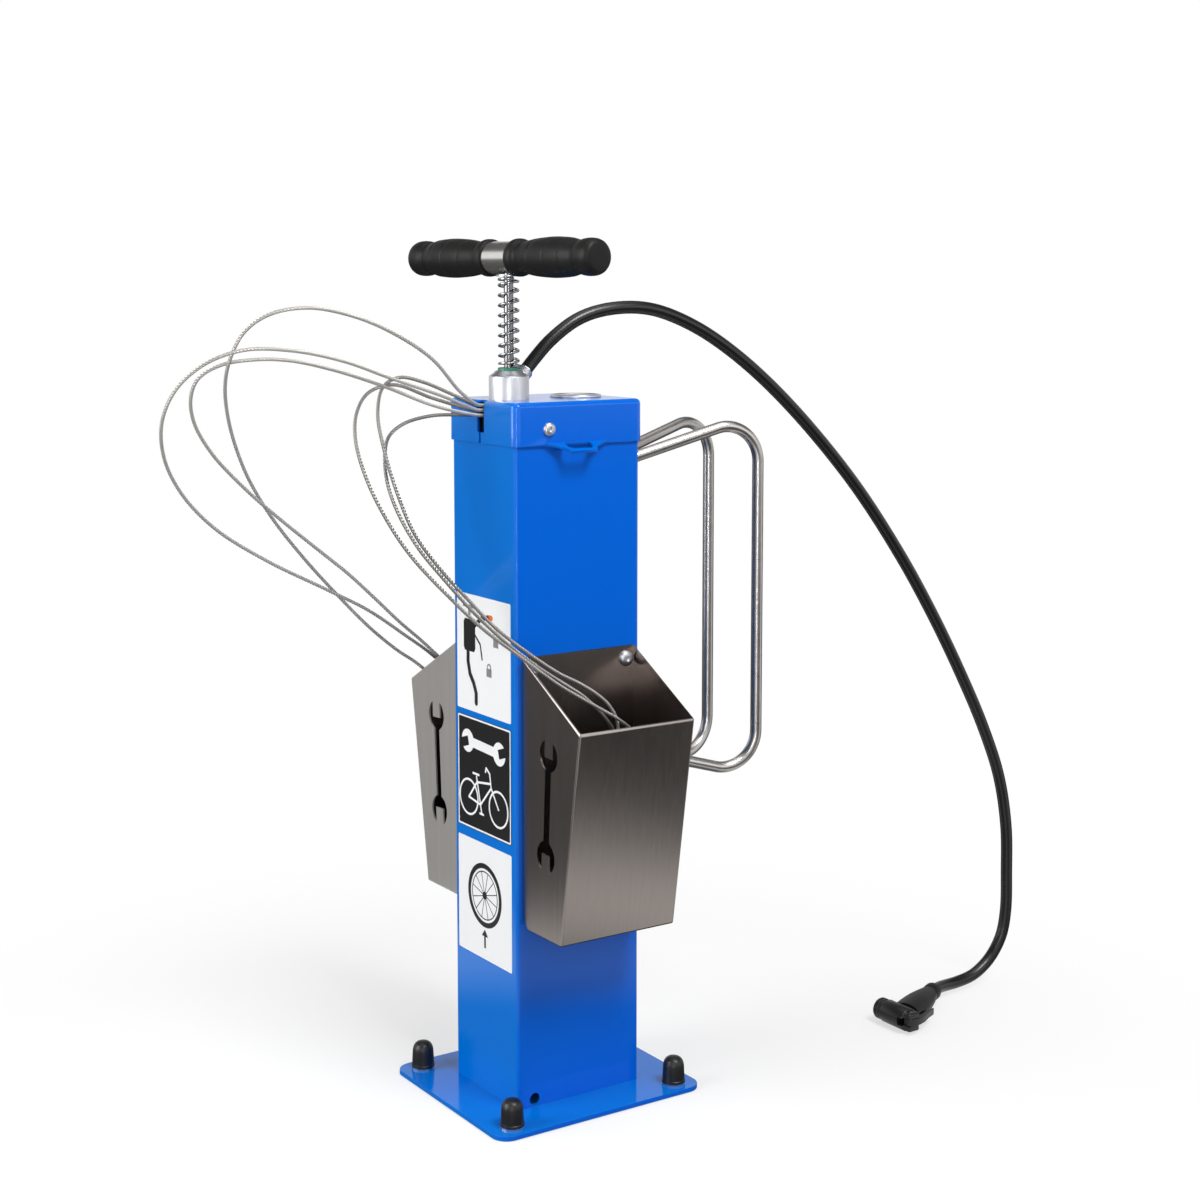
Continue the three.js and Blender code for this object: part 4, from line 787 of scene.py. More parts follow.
def spanner_cutter(sign):
    """The double-ended spanner that is cut from the front cheek."""
    along = (HOLE_HIGH - HOLE_LOW).normalized()
    across = Vector((-along.y, along.x))

    def cutter(outline, extra=0.0):
        over = OVERRUN + extra
        return pocket_prism("cutter", outline, sign, -POCKET_HALF - over, -POCKET_HALF + POCKET_SHEET + over)

    def bar(origin, low, high, half, extra):
        corners = ((low, -half), (high, -half), (high, half), (low, half))
        return cutter([origin + along * u + across * v for u, v in corners], extra)

    low_disc, high_disc = [cutter(circle(HOLE_HEAD, 56, centre)) for centre in (HOLE_LOW, HOLE_HIGH)]
    shaft = bar(HOLE_LOW, 0, (HOLE_HIGH - HOLE_LOW).length, HOLE_SHAFT / 2, -0.1)
    join_to(low_disc, shaft, high_disc)
    return cut_by(
        low_disc, bar(HOLE_LOW, -HOLE_HEAD * 2, HOLE_JAW_DEPTH - HOLE_HEAD, HOLE_JAW / 2, 1),
        bar(HOLE_HIGH, HOLE_HEAD - HOLE_JAW_DEPTH, HOLE_HEAD * 2, HOLE_JAW / 2, 1))


def tool_pockets():
    thin = POCKET_SHEET
    floor_top = POCKET_LOW + thin
    above = POCKET_BACK_TOP + 4
    inner_low = POCKET_LOW_REACH + thin * POCKET_SLOPE - thin
    outside = [
        (0, POCKET_LOW + POCKET_BEVEL), (POCKET_BEVEL, POCKET_LOW), (POCKET_LOW_REACH, POCKET_LOW),
        (POCKET_TOP_REACH, POCKET_FRONT_TOP), (0, POCKET_BACK_TOP)]
    inside = [
        (thin, POCKET_LOW + POCKET_BEVEL + thin / 2), (POCKET_BEVEL + thin / 2, floor_top), (inner_low, floor_top),
        (inner_low + (above - floor_top) * POCKET_SLOPE, above), (thin, above)]
    for side, sign in SIDES:
        # Painted shade: picks the faces inside the pocket, which get a darker copy of the steel
        def painted_shade_faces(centre, normal):
            x, y, z = centre + normal * 2
            rise = z - floor_top
            reach = sign * x - FACE_X
            return thin < reach < inner_low + rise * POCKET_SLOPE and rise > 0 and abs(y) < POCKET_HALF - thin

        pocket = pocket_prism(f"sheet_pocket_{side}", outside, sign, -POCKET_HALF, POCKET_HALF)
        room = pocket_prism("room", inside, sign, -POCKET_HALF + thin, POCKET_HALF - thin)
        holes = [
            rod_between(
                (sign * (FACE_X - OVERRUN), y, POCKET_SCREW_HEIGHT),
                (sign * (FACE_X + thin + OVERRUN), y, POCKET_SCREW_HEIGHT), SCREW_HOLE, 32)
            for _, y in POCKET_SCREWS_Y]
        bevelled(pocket, 1.6, 3)
        cut_by(pocket, room, spanner_cutter(sign), *holes)
        bevelled(pocket, 0.25, 2, 60)
        # Painted light: each side's pocket gets its own tone of one steel, the left one lighter
        piece(pocket, f"pocket_{side}", f"tool_pocket_{side}", slot="dark_stainless")
        repaint(pocket, "pocket_painted_shade", painted_shade_faces)


# Wheel holder

HOOP_ROOT_X = 11
HOOP_OUTER_X = 35.7
HOOP_REACH = 196
HOOP_TOP = 556.1
HOOP_LOW = 256.7
HOOP_RADIUS = 5
HOOP_STUD = 4
HOOP_STUD_IN = 14
HOOP_STUD_OUT = 6
HOOP_START = -4
HOOP_BEND = 31
HOOP_RISE = 0.28
HOOP_RUN = math.hypot(HOOP_OUTER_X - HOOP_ROOT_X, HOOP_REACH - FACE_Y)
ARM_ANGLE = math.atan(HOOP_RISE)
WALL_ROOM = 100


def hoop_place(sign, upper, run, rise):
    """A place in a hoop's splayed plane, by how far out it runs and how far past the bend's middle it rises."""
    share = run / HOOP_RUN
    return Vector((
        sign * (HOOP_ROOT_X + (HOOP_OUTER_X - HOOP_ROOT_X) * share), FACE_Y + (HOOP_REACH - FACE_Y) * share,
        HOOP_TOP - HOOP_BEND + rise if upper else HOOP_LOW + HOOP_BEND - rise))


def arm_place(sign, upper, run):
    before_bend = HOOP_RUN - HOOP_BEND - HOOP_BEND * math.sin(ARM_ANGLE) - run
    return hoop_place(sign, upper, run, HOOP_BEND * math.cos(ARM_ANGLE) - before_bend * HOOP_RISE)


def wheel_hoops():
    bend = arc((HOOP_RUN - HOOP_BEND, 0), HOOP_BEND, QUARTER_TURN + ARM_ANGLE, -QUARTER_TURN - ARM_ANGLE, 22)
    for side, sign in SIDES:
        points = [
            arm_place(sign, True, HOOP_START), *[hoop_place(sign, True, *place) for place in bend],
            *[hoop_place(sign, False, *place) for place in reversed(bend)], arm_place(sign, False, HOOP_START)]
        rod = swept(f"bent_rod_{side}", points, round_section(HOOP_RADIUS, 28))
        cut_by(rod, box_between(
            (-WALL_ROOM, FACE_Y - HOOP_RADIUS * 4, 0), (WALL_ROOM, FACE_Y + GAP, HOOP_TOP + WALL_ROOM)))
        join_to(rod, *[
            rod_between(arm_place(sign, upper, -HOOP_STUD_IN), arm_place(sign, upper, HOOP_STUD_OUT), HOOP_STUD)
            for upper in (True, False)])
        piece(rod, "rod_steel", f"wheel_hoop_{side}", slot="stainless")


# Pump head, spring, rod and handle

PUMP_Y = -35
PUMP_PLACE = (0, PUMP_Y, 0)
HEAD_PROFILE = [
    (0, 572), (16.2, 572), (16.5, 572.3), (16.5, 603.4), (16.2, 604.1), (15.6, 604.5), (12.4, 606.8),
    (11.5, 607.9), (10.8, 608.4), (0, 608.4),
]
# Upright bores of the head: place along Y, lowest and highest point, radius, sides
HEAD_BORES = [
    (-16.4, 560, 580.3, 2.8, 24), (PUMP_Y, 602.3, 614, 9.5, 72), (PUMP_Y, 560, 598.3, 15.3, 72),
    (PUMP_Y, 590, 606, 4.3, 48),
]
PIPE_BOSS = ((-5, -22, 572), (5, -12.25, 582))
SEAL_PROFILE = [
    (4.3, 602.6), (9.2, 602.6), (9.2, 610), (8.9, 610.6), (8.3, 610.9), (5.1, 610.9), (4.5, 610.5), (4.3, 609.9)]
NIPPLE_SEAT = Vector((0, -24.5, 602.5))
NIPPLE_SLOPE = 0.82
NIPPLE_WAY = Vector((0, math.cos(NIPPLE_SLOPE), math.sin(NIPPLE_SLOPE)))
NUT_START = 7.8
NUT_RADIUS = 6.2
NUT_THICKNESS = 1.6


def along_nipple(start, end, radius, steps):
    """A rod on the side nipple's line, from one distance to another."""
    return rod_between(NIPPLE_SEAT + NIPPLE_WAY * start, NIPPLE_SEAT + NIPPLE_WAY * end, radius, steps)


def pump_head():
    head = turned("pump_cap", HEAD_PROFILE, 96, PUMP_PLACE)
    join_to(head, along_nipple(2, 7.5, 7, 48), box_between(*PIPE_BOSS))
    bores = [rod_between((0, y, low), (0, y, high), radius, steps) for y, low, high, radius, steps in HEAD_BORES]
    cut_by(head, along_nipple(4, 10.5, 3.3, 32), *bores)
    piece(head, "head_steel", "pump_head", slot="polished")
    piece(turned("wiper_seal", SEAL_PROFILE, 72, PUMP_PLACE), "green_seal", "rod_seal")
    shank = along_nipple(4.3, 8.1, 3, 32)
    shank.name = "hose_union"
    nut = prism("nut", circle(NUT_RADIUS, 6), 0, NUT_THICKNESS)
    moved(nut, shift(NIPPLE_SEAT + NIPPLE_WAY * NUT_START) @ turn_to(NIPPLE_WAY))
    piece(join_to(shank, bevelled(nut, 0.35)), "zinc_plate", "hose_fitting")


SPRING_LOW = 611.2
SPRING_HIGH = 684.55
SPRING_RADIUS = 7.9
SPRING_WIRE = 1.1
SPRING_TURNS = 10
SPRING_END_PITCH = 2.9
SPRING_STEPS = 36


def buffer_spring():
    climb = SPRING_HIGH - SPRING_LOW - SPRING_WIRE * 2
    open_pitch = (climb - SPRING_END_PITCH * 2) / (SPRING_TURNS - 2)
    height = SPRING_LOW + SPRING_WIRE
    points = []
    for step in range(SPRING_TURNS * SPRING_STEPS + 1):
        turn = step / SPRING_STEPS
        points.append(Vector((*around((0, PUMP_Y), SPRING_RADIUS, FULL_TURN * turn), height)))
        pitch = SPRING_END_PITCH if turn < 1 or turn >= SPRING_TURNS - 1 else open_pitch
        height += pitch / SPRING_STEPS
    coil = swept("coil_spring", points, round_section(SPRING_WIRE, 14))
    painted(coil, "spring_wire")
    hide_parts("buffer_spring")
    start, end = [metres((0, PUMP_Y, height)) for height in (SPRING_LOW, SPRING_HIGH)]
    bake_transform(coil)
    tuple(start)
    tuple(end)


HANDLE_HEIGHT = 700
HANDLE_TURN = math.radians(7.5)
HUB_RADIUS = 13.35
HUB_HALF = 15
HUB_EDGE = 0.5
HUB_SHIFT = -4.7
HUB_BORE_TOP = 6.3
ROD_BORE = 4.3
BAR_HALF = 111.5
BAR_RADIUS = 8
GRIP_FATTEST = 16.4
GRIP_LENGTH = 101.7
GRIP_BORE = 8.3
GRIP_BORE_DEPTH = 97
GRIP_SHARES = [
    (0, 0.8), (0.002, 0.86), (0.006, 0.905), (0.015, 0.93), (0.035, 0.942), (0.06, 0.938), (0.075, 0.915),
    (0.088, 0.865), (0.098, 0.82), (0.108, 0.795), (0.118, 0.79), (0.14, 0.8), (0.175, 0.835), (0.215, 0.875),
    (0.255, 0.91), (0.283, 0.93), (0.289, 0.925), (0.292, 0.908), (0.297, 0.908), (0.301, 0.93), (0.31, 0.945),
    (0.36, 0.965), (0.42, 0.987), (0.478, 1), (0.49, 0.998), (0.495, 0.975), (0.503, 0.975), (0.508, 0.995),
    (0.515, 1), (0.56, 0.99), (0.61, 0.975), (0.65, 0.957), (0.657, 0.95), (0.661, 0.93), (0.668, 0.93),
    (0.672, 0.94), (0.68, 0.94), (0.71, 0.905), (0.745, 0.855), (0.775, 0.81), (0.795, 0.79), (0.812, 0.795),
    (0.822, 0.82), (0.832, 0.86), (0.845, 0.88), (0.87, 0.9), (0.9, 0.91), (0.93, 0.905), (0.955, 0.885),
    (0.975, 0.845), (0.988, 0.79), (0.996, 0.72), (1, 0.62), (1, 0.3), (1, 0),
]


def handle():
    turn = shift((0, PUMP_Y, HANDLE_HEIGHT)) @ Matrix.Rotation(HANDLE_TURN, 4, "Z")
    edge_radius = HUB_RADIUS - HUB_EDGE
    edge_half = HUB_HALF - HUB_EDGE
    hub = turned("tee_hub", [
        (0, -HUB_HALF), (edge_radius, -HUB_HALF), (HUB_RADIUS, -edge_half), (HUB_RADIUS, edge_half),
        (edge_radius, HUB_HALF), (0, HUB_HALF)], 96, (HUB_SHIFT, 0, 0), X_AXIS)
    join_to(hub, rod_between((HUB_SHIFT - BAR_HALF, 0, 0), (HUB_SHIFT + BAR_HALF, 0, 0), BAR_RADIUS, 40))
    cut_by(hub, rod_between((0, 0, -HUB_HALF * 2), (0, 0, HUB_BORE_TOP), ROD_BORE, 48))
    piece(moved(hub, turn), "hub_steel", "handle_hub", body="handle", slot="stainless")
    for side, sign in SIDES:
        profile = [(0, GRIP_BORE_DEPTH), (GRIP_BORE, GRIP_BORE_DEPTH), (GRIP_BORE, 0)]
        profile += [(GRIP_FATTEST * radius, GRIP_LENGTH * way) for way, radius in GRIP_SHARES]
        start = HUB_SHIFT + sign * (HUB_HALF + GAP)
        grip = turned(f"rubber_grip_{side}", profile, 80, (start, 0, 0), X_AXIS * sign, 60)
        piece(moved(grip, turn), "black_rubber", f"grip_{side}", body="handle")


ROD_PROFILE = [(0, 64.3), (3.7, 64.3), (4, 64.6), (4, 705.7), (3.7, 706), (0, 706)]
WASHER_TOP = HANDLE_HEIGHT - HUB_RADIUS - GAP
WASHER_THICKNESS = 1.5
WASHER_RADIUS = 10.5
CUP_PROFILE = [(4.3, 54.5), (9.5, 54.2), (11, 52), (13.2, 52), (13.2, 57.7), (4.3, 57.7)]


def rod_and_washer():
    low = WASHER_TOP - WASHER_THICKNESS
    washer_profile = [
        (ROD_BORE, low), (WASHER_RADIUS - GAP, low), (WASHER_RADIUS, low + GAP), (WASHER_RADIUS, WASHER_TOP - GAP),
        (WASHER_RADIUS - GAP, WASHER_TOP), (ROD_BORE, WASHER_TOP)]
    piece(
        turned("chrome_rod", ROD_PROFILE, 64, PUMP_PLACE), "rod_chrome", "piston_rod",
        body="plunger", slot="polished")
    piece(
        turned("stop_washer", washer_profile, 64, PUMP_PLACE), "zinc_plate", "spring_washer", body="spring_washer")
    piece(turned("leather_cup", CUP_PROFILE, 64, PUMP_PLACE), "black_rubber", "piston_cup", body="plunger")


# Chuck: nozzle, sleeve and lever

CHUCK_TURN = shift((77.2, 331.3, 11.5)) @ Matrix.Rotation(-QUARTER_TURN, 4, "Z")
CHUCK_DROOP = math.radians(26)
SLEEVE_START = Vector((-7, 2, 0))
SLEEVE_LENGTH = 71
SLEEVE_SIDES = 48
# Share of the sleeve's length, half width and half height there
SLEEVE_STATIONS = [
    (0, 14.5, 10.8), (0.12, 14.5, 10.8), (0.25, 14.35, 10.7), (0.38, 13.9, 10.4), (0.5, 13.0, 10.0),
    (0.62, 11.6, 9.3), (0.75, 9.75, 8.4), (0.82, 8.6, 7.85), (0.862, 7.8, 7.5), (0.872, 8.05, 7.95), (0.88, 8.2, 8.2),
    (0.93, 8.2, 8.2), (0.985, 8.2, 8.2), (0.997, 8.0, 8.0), (1, 7.6, 7.6),
]
NOZZLE_PROFILE = [
    (0, -24), (8.6, -24), (9.4, -23.6), (9.8, -22.8), (9.8, -20.4), (9.4, -20), (9.4, -19.2), (9.8, -18.8),
    (9.8, -16.4), (9.4, -16), (9.4, -15.2), (10.2, -14.4), (10.5, -13.6), (10.5, 14.2), (10.2, 14.8), (9.7, 15),
    (0, 15),
]
NOZZLE_ROOM = ((0, -24.3, 0), (0, 15.3, 0), 10.8, 64)
EARS = ((-6.3, 0, -8.5), (6.3, 22, 8.5))
LEVER_SLOT = ((-12.5, 9.8, -3.5), (12.5, 24, 3.5))
LEVER_ROOM = ((-68, 10.7, -3.5), (0, 22, 3.5))
VALVE_BORE = ((0, -26, 0), (0, -8, 0), 4.5, 48)
PIN_Y = 17
PIN_HOLE = ((0, PIN_Y, -21), (0, PIN_Y, 21), 1.8, 24)
PIN_PROFILE = [(0, -8.5), (1.3, -8.5), (1.5, -8.3), (1.5, 8.3), (1.3, 8.5), (0, 8.5)]
VALVE_SEAL_PROFILE = [
    (2.6, -15), (2.9, -15.3), (3.9, -15.3), (4.2, -15), (4.2, -8.6), (3.9, -8.3), (2.9, -8.3), (2.6, -8.6)]


def rubber_sleeve():
    along = Vector((-math.cos(CHUCK_DROOP), -math.sin(CHUCK_DROOP), 0))
    across = Vector((-along.y, along.x, 0))
    rings = [
        [SLEEVE_START + along * (SLEEVE_LENGTH * share) + across * (wide * u) + Z_AXIS * (high * v)
         for u, v in circle(1, SLEEVE_SIDES)]
        for share, wide, high in SLEEVE_STATIONS]
    sleeve = skin("rubber_sleeve", rings, 50)
    cut_by(sleeve, rod_between(*NOZZLE_ROOM), box_between(*LEVER_ROOM))
    return piece(moved(sleeve, CHUCK_TURN), "black_rubber", "hose_sleeve")


def chuck():
    sleeve = rubber_sleeve()
    nozzle = turned("nozzle_body", NOZZLE_PROFILE, 72, (0, 0, 0), Y_AXIS)
    join_to(nozzle, bevelled(box_between(*EARS), 1.4, 3))
    cut_by(nozzle, box_between(*LEVER_SLOT), rod_between(*VALVE_BORE), rod_between(*PIN_HOLE))
    pin = turned("hinge_pin", PIN_PROFILE, 32, (0, PIN_Y, 0))
    seal = turned("valve_seal", VALVE_SEAL_PROFILE, 40, (0, 0, 0), Y_AXIS)
    return [
        sleeve,
        piece(moved(nozzle, CHUCK_TURN), "black_plastic", "chuck_body"),
        piece(moved(pin, CHUCK_TURN), "zinc_plate", "chuck_pin"),
        piece(moved(seal, CHUCK_TURN), "black_rubber", "chuck_seal"),
        refined("chuck_lever", "black_plastic", 0.7, "chuck_lever"),
    ]


# Labels: white and black film with plain pictograms, on the front face, by (x, z) points

LABEL_Y = -60
FILM = 0.2
INK = 0.06
LABEL_LEFT = -44
LABEL_RIGHT = 42
LABEL_CORNER = 1.5


def film(name, low, high, material):
    """A rounded panel across the front face, from one height to another."""
    middle = ((LABEL_LEFT + LABEL_RIGHT) / 2, (low + high) / 2)
    outline = rounded_rectangle(LABEL_RIGHT - LABEL_LEFT, high - low, LABEL_CORNER, middle=middle)
    piece(prism_along_y(name, outline, LABEL_Y - FILM, LABEL_Y), material, slot="black_plastic")


def ink(outline):
    """A flat outline printed on the film."""
    return prism_along_y("ink", outline, LABEL_Y - FILM - INK, LABEL_Y - FILM)


def opened(shape, *outlines):
    """An inked shape with these outlines left bare."""
    return cut_by(shape, *[prism_along_y("bare", outline, LABEL_Y - 2, LABEL_Y + 2) for outline in outlines])


def stroke(points, width):
    """Bars of even width with round ends, through points."""
    bars = []
    for a, b in zip(points, points[1:]):
        side = math.atan2(b[1] - a[1], b[0] - a[0]) + QUARTER_TURN
        bars.append(ink(
            arc(b, width / 2, side, -HALF_TURN, 8) + arc(a, width / 2, side + HALF_TURN, -HALF_TURN, 8)))
    return bars


def ring(centre, radius, width):
    return opened(ink(circle(radius + width / 2, 64, centre)), circle(radius - width / 2, 64, centre))


def inked(name, material, shapes):
    """Joins shapes of one ink into one piece on the stand."""
    whole = join_to(*shapes)
    whole.name = name
    piece(whole, material, slot="black_plastic")


def flat_spanner(left, right, head, jaw, depth, half_shaft, lean):
    """A double-ended spanner between two head centres, its jaws leaning off its line."""
    left, right = Vector(left), Vector(right)
    way = (right - left).normalized()
    side = Vector((-way.y, way.x)) * half_shaft
    body = join_to(
        ink([left + side, right + side, right - side, left - side]),
        *[ink(circle(head, 48, centre)) for centre in (left, right)])
    jaws = []
    for centre, outward in ((left, -way), (right, way)):
        out = Matrix.Rotation(lean, 2) @ outward
        half_jaw = Vector((-out.y, out.x)) * jaw / 2
        root = centre + out * (head - depth)
        end = centre + out * head * 1.6
        jaws.append([root + half_jaw, end + half_jaw, end - half_jaw, root - half_jaw])
    return opened(body, *jaws)


def padlock(x, z, lift):
    """A plain padlock, its bow lifted off one side when it is open."""
    arch = [(x - 2.6, z + 2), *arc((x, z + 4 + lift), 2.6, HALF_TURN, -HALF_TURN, 8)]
    if not lift:
        arch.append((x + 2.6, z + 2))
    return [ink([(x - 4, z - 4), (x + 4, z - 4), (x + 4, z + 3), (x - 4, z + 3)]), *stroke(arch, 1.3)]


def label_one():
    """White film: a chuck on a valve, with its lever up and down."""
    film("label_top", 325, 423, "label_white")
    inked("label_top_ink", "label_black", [
        ink([(-31, 375), (-16, 375), (-14, 378), (-14, 399), (-16, 402), (-31, 402), (-33, 399), (-33, 378)]),
        *stroke([(-26, 377), (-26, 366), (-23, 356), (-17, 349), (-13, 341), (-13, 333)], 5),
        *stroke([(-16, 397), (-4, 405), (6, 407)], 4), *stroke([(-16, 391), (-6, 383), (-3, 371)], 2)])
    inked("label_top_tip", "label_orange", stroke([(6, 407), (12, 407.5)], 4.6))
    inked("label_top_lock", "label_grey", padlock(19, 388, 3) + padlock(8, 362, 0))
    inked("label_top_valve", "label_grey", [
        ink([(-25.5, 403), (-21.5, 403), (-21.5, 411), (-25.5, 411)]),
        ink([(-34, 411.5), (-13, 411.5), (-13, 414), (-34, 414)])])


BICYCLE_LINES = [
    [(-26, 251), (-7, 248), (-13.3, 270.5)], [(-26, 251), (-12.6, 266)], [(-12.6, 266), (9.4, 269)],
    [(-7, 248), (10.4, 265.5)], [(22, 250), (10.4, 265.5), (8.2, 277), (2.6, 281), (1.4, 277.6)],
    [(-19, 272.6), (-9.4, 272.6)], [(-7, 248), (-5, 240.6)], [(-8, 240.4), (-2.4, 240.4)],
]
BICYCLE_LINE_WIDTH = 1.9
BICYCLE_WHEEL = 14.8


def label_two():
    """Black film with a white border, a spanner and a bicycle."""
    film("label_middle", 224.5, 320, "label_black")
    middle = (-1, 272.25)
    inked("label_middle_border", "label_white", [opened(
        ink(rounded_rectangle(84.8, 94.3, 1.3, middle=middle)), rounded_rectangle(82, 91.5, 1, middle=middle))])
    inked("label_middle_spanner", "label_white", [
        flat_spanner((-27.5, 298.6), (23.5, 296.6), head=9.8, jaw=8, depth=11, half_shaft=4.1, lean=0.35)])
    bicycle = [ring(centre, BICYCLE_WHEEL, BICYCLE_LINE_WIDTH) for centre in ((-26, 251), (22, 250))]
    for line in BICYCLE_LINES:
        bicycle += stroke(line, BICYCLE_LINE_WIDTH)
    inked("label_middle_bicycle", "label_white", bicycle)


WHEEL_MIDDLE = (-1, 172)
WHEEL_RIM = 20.2
WHEEL_SPOKES = 12


def label_three():
    """White film with a plain wheel and a pump's arrow."""
    film("label_low", 117.5, 216, "label_white")
    wheel = [
        ring(WHEEL_MIDDLE, 25, 4.4), ring(WHEEL_MIDDLE, WHEEL_RIM, 1), ink(circle(3.4, 32, WHEEL_MIDDLE))]
    half_spoke = HALF_TURN / WHEEL_SPOKES
    starts, ends = [
        arc(WHEEL_MIDDLE, radius, half_spoke, FULL_TURN, WHEEL_SPOKES)[:-1] for radius in (2, WHEEL_RIM)]
    for spoke in zip(starts, ends):
        wheel += stroke(spoke, 0.8)
    inked("label_low_wheel", "label_black", wheel)
    inked("label_low_arrow", "label_black", [
        *stroke([(-1, 139), (-1, 128)], 2.6), ink([(-6, 137), (4, 137), (-1, 143)])])


# Tools and the pieces inside

TOOL_FLOOR = 158.8
DRIVER_PROFILE = [
    (0, 70), (5.2, 70), (6, 70.4), (6.3, 72), (7.5, 76.1), (9, 82), (9.8, 86.5), (10, 90), (10, 118), (9.8, 122),
    (9, 127), (8.2, 129.8), (7.2, 131), (0, 131),
]
SHAFT_PROFILE = [(0, 0), (3, 0), (3, 69.9), (0, 69.9)]
FERRULE_PROFILE = [(0, 131.1), (4, 131.1), (4, 140.4), (3.5, 141), (2.4, 141), (2.4, 135), (0, 135)]
FLUTES = 6
FLUTE_DEPTH_SHARE = 0.09
FLUTE_FROM = 78
FLUTE_TO = 126
FLUTE_FADES = (8, 6)
# Spans across the shaft that are pared away at its tip
PARED = ((-6, -1), (1, 6))
TIP_HEIGHT = 9


def flute(form):
    """Draws the handle in along its flutes, which fade out towards both ends."""
    for vert in form.data.vertices:
        height = vert.co.z / MM
        fade = max(0.0, min(1.0, (height - FLUTE_FROM) / FLUTE_FADES[0], (FLUTE_TO - height) / FLUTE_FADES[1]))
        wave = (1 + math.cos(math.atan2(vert.co.y, vert.co.x) * FLUTES)) / 2
        pull = 1 - FLUTE_DEPTH_SHARE * fade * wave
        vert.co.x *= pull
        vert.co.y *= pull


def screwdriver(node, name, x, y, cross):
    place = shift((x, y, TOOL_FLOOR))
    form = turned(name, DRIVER_PROFILE, 72)
    flute(form)
    piece(moved(form, place), "black_plastic", node)
    shaft = turned(f"{name}_shaft", SHAFT_PROFILE, 40)
    cut_by(shaft, *[
        box_between((x_low, y_low, -2), (x_high, y_high, TIP_HEIGHT))
        for x_low, x_high in (PARED if cross else [(-6, 6)]) for y_low, y_high in PARED])
    piece(moved(bevelled(shaft, 0.15), place), "polished")
    piece(moved(turned(f"{name}_ferrule", FERRULE_PROFILE, 40), place), "zinc_plate")


def tools():
    refined("tyre_lever", "black_plastic", 0.8)
    refined("hex_key", "zinc_plate", 0.3)
    refined("open_end_spanner", "polished", 0.5)
    refined("wrench_body", "polished", 0.5)
    refined("wrench_jaw", "polished", 0.3, "wrench_jaw")
    refined("wrench_worm", "zinc_plate", 0.15, "wrench_worm")
    screwdriver("screwdriver_flat", "driver_flat", 103, 2, False)
    screwdriver("screwdriver_cross", "driver_cross", 103, 26, True)


ZINC_NODES = [
    "foot_valve", "piston", *[f"anchor_bolt_{i}" for i in range(1, 5)],
    *[f"hoop_nut_{side}_{place}" for side, _ in SIDES for place in ("top", "low")],
]


def kept_nodes():
    kept = {"pump_barrel": "stainless", "air_pipe": "brass_pipe", **dict.fromkeys(ZINC_NODES, "zinc_plate")}
    for node, material in kept.items():
        for material_slot in frame["nodes"][node].material_slots:
            material_slot.material = MATERIALS[material]


# Floor, backdrop and lights, in metres

SOFT_LIGHT = 0.3
FLOOR_REACH = 9
FLOOR_DROP = 0.0004
FLOOR_FADE = (0.12, 0.75)
FLOOR_LEAST_WHITE = 0.5
FLOOR_COLOUR = 0.85
FLOOR_BOUNCE = 0.35
FLOOR_FAR = (0.55, 0.75)
EYE_RAYS = ("Is Camera Ray", "Is Transmission Ray")

# Brightness that polished steel mirrors: of the near floor by distance, of the far floor by share of a full
# turn, and of the sky by height
NEAR = [(0.0, 0.1), (0.25, 0.12), (0.36, 0.95), (0.43, 0.95), (0.53, 0.25), (0.62, 0.08), (1.0, 0.06)]
AROUND = [
    (0.0, 0.1), (0.14, 0.1), (0.185, 0.75), (0.23, 0.7), (0.27, 0.08), (0.34, 0.1), (0.375, 1.0), (0.43, 1.0),
    (0.465, 0.12), (0.56, 0.05), (0.615, 0.06), (0.645, 0.95), (0.69, 0.95), (0.725, 0.1), (0.8, 0.05), (1.0, 0.06),
]
ABOVE = [(0.0, 0.9), (0.38, 0.85), (0.48, 0.12), (0.82, 0.12), (0.93, 0.85), (1.0, 0.9)]


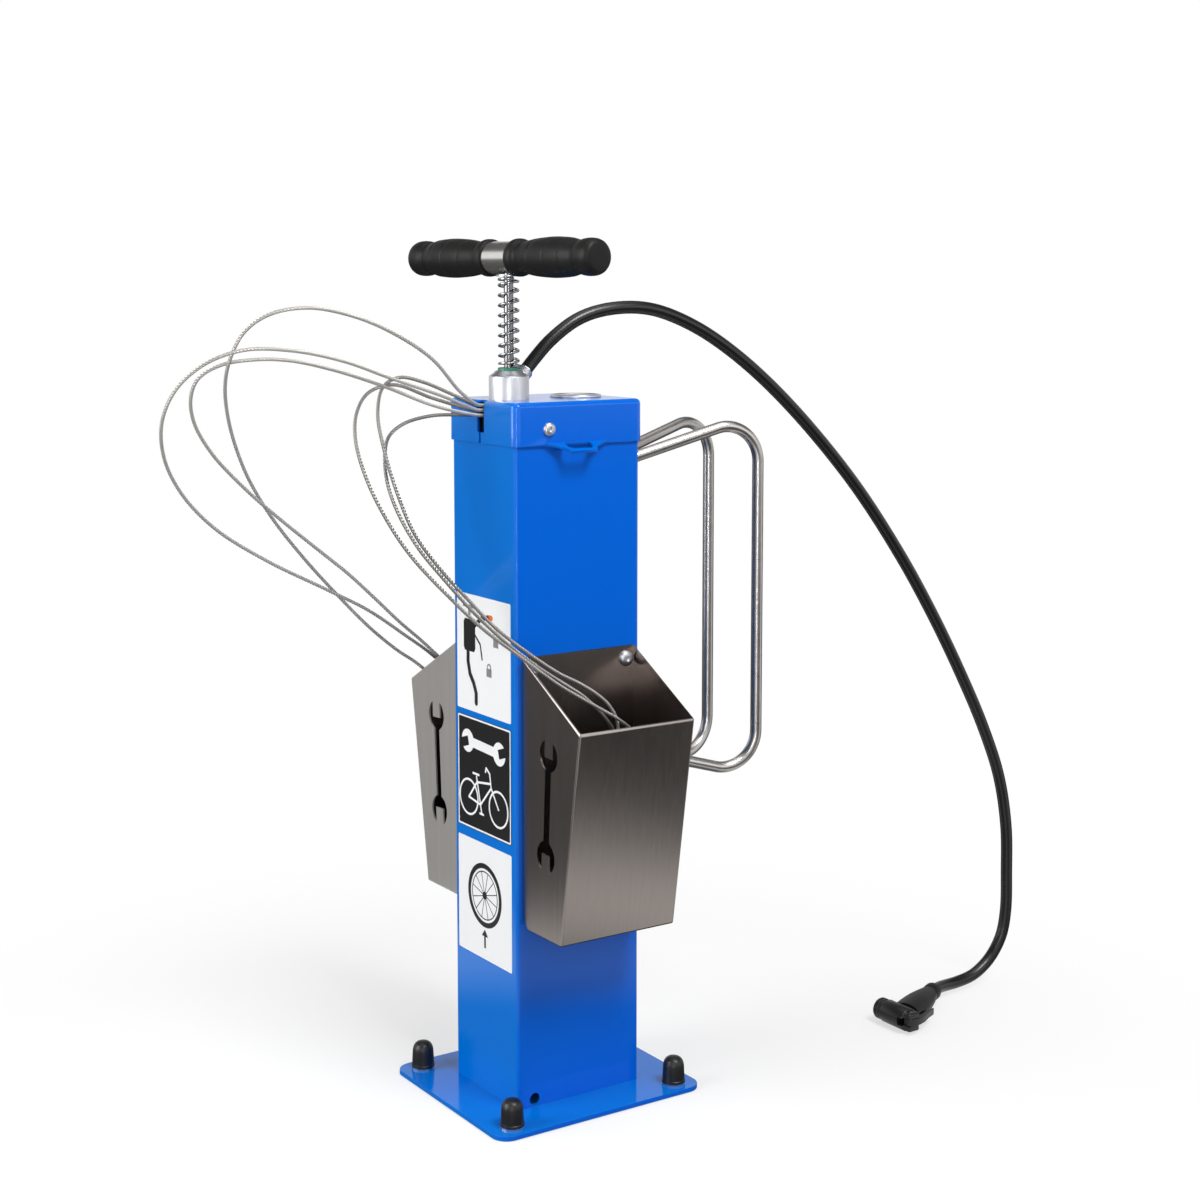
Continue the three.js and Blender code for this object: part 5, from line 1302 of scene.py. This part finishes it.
def floor():
    """Pale to the eye and whiter with distance, dim to matt surfaces, and banded to polished ones."""
    rim = [(x, y, 0) for x, y in circle(FLOOR_REACH / MM, 96)]
    ground = link_mesh("studio_floor", [(0, 0, 0), *rim], [(0, k, k % 96 + 1) for k in range(1, 97)])
    ground.location.z = -FLOOR_DROP
    n = new_material("studio_floor")
    eye = n.rays(*EYE_RAYS)
    paint = n.mix(eye, grey(FLOOR_BOUNCE), grey(FLOOR_COLOUR))
    matt = n.add("BsdfPrincipled", {"Base Color": paint, "Roughness": 0.9, "Specular IOR Level": 0.1})
    distance = n.add("VectorMath", {0: n.place["Object"]}, "Value", operation="LENGTH")
    fade = n.spread(distance, FLOOR_LEAST_WHITE, 1, *FLOOR_FADE, interpolation_type="SMOOTHSTEP")
    white_share = n.add("Math", {0: fade, 1: eye}, operation="MULTIPLY")
    seen = n.mix_shaders(white_share, matt, n.add("Emission", {"Color": WHITE}))
    x, y = [n.add("SeparateXYZ", {0: n.place["Object"]}, axis) for axis in "XY"]
    bearing = n.add("Math", {0: y, 1: x}, operation="ARCTAN2")
    bands = n.ramp(n.spread(bearing, 0, 1, -HALF_TURN, HALF_TURN), AROUND)
    far = n.spread(distance, 0, 1, *FLOOR_FAR, interpolation_type="SMOOTHSTEP")
    mirrored = n.add("Emission", {"Color": n.mix(far, n.ramp(distance, NEAR), bands)})
    n.end("OutputMaterial", n.mix_shaders(n.rays("Is Glossy Ray"), seen, mirrored))
    painted(ground, "studio_floor")


def world():
    """White to the eye, soft light to matt surfaces, and bright and dark bands to polished ones."""
    bpy.context.scene.world = bpy.data.worlds.new("studio")
    n = Tree(bpy.context.scene.world)
    soft =n.add("Background", {"Color": WHITE, "Strength": SOFT_LIGHT})
    seen = n.mix_shaders(n.rays(*EYE_RAYS), soft, n.add("Background", {"Color": WHITE}))
    height = n.add("SeparateXYZ", {0: n.place["Generated"]}, "Z")
    mirrored = n.add("Background", {"Color": n.ramp(height, ABOVE)})
    n.end("OutputWorld", n.mix_shaders(n.rays("Is Glossy Ray"), seen, mirrored))


def softbox(name, place, target, width, height, power):
    light = bpy.data.lights.new(name, "AREA")
    light.shape = "RECTANGLE"
    light.size = width
    light.size_y = height
    light.energy = power
    aimed(name, light, place, Vector(target) - Vector(place))


def lights():
    softbox("key_light", (1.6, 0.2, 2.4), (0.05, 0, 0.5), 0.9, 0.9, 52)
    softbox("front_light", (-0.4, -2.3, 1.2), (0, 0, 0.35), 1.4, 1.6, 48)
    softbox("edge_light", (2, -1.25, 0.72), (0, 0, 0.45), 0.06, 1.7, 11)
    softbox("side_light", (2.2, 1.2, 1.2), (0, 0, 0.3), 1.2, 1.4, 4)
    softbox("top_light", (0, 0.2, 2.8), (0, 0, 0.3), 1.8, 1.8, 6)


def build():
    make_camera()
    make_materials()
    pump_hose(chuck())
    tool_ropes()
    base_plate()
    column()
    refined("top_cover", "blue_paint", 0.45)
    anchor_caps()
    screws()
    cover_plug()
    tool_pockets()
    wheel_hoops()
    pump_head()
    buffer_spring()
    rod_and_washer()
    handle()
    label_one()
    label_two()
    label_three()
    tools()
    kept_nodes()
    floor()
    world()
    lights()


build()
bpy.context.scene.view_settings.view_transform = "Standard"
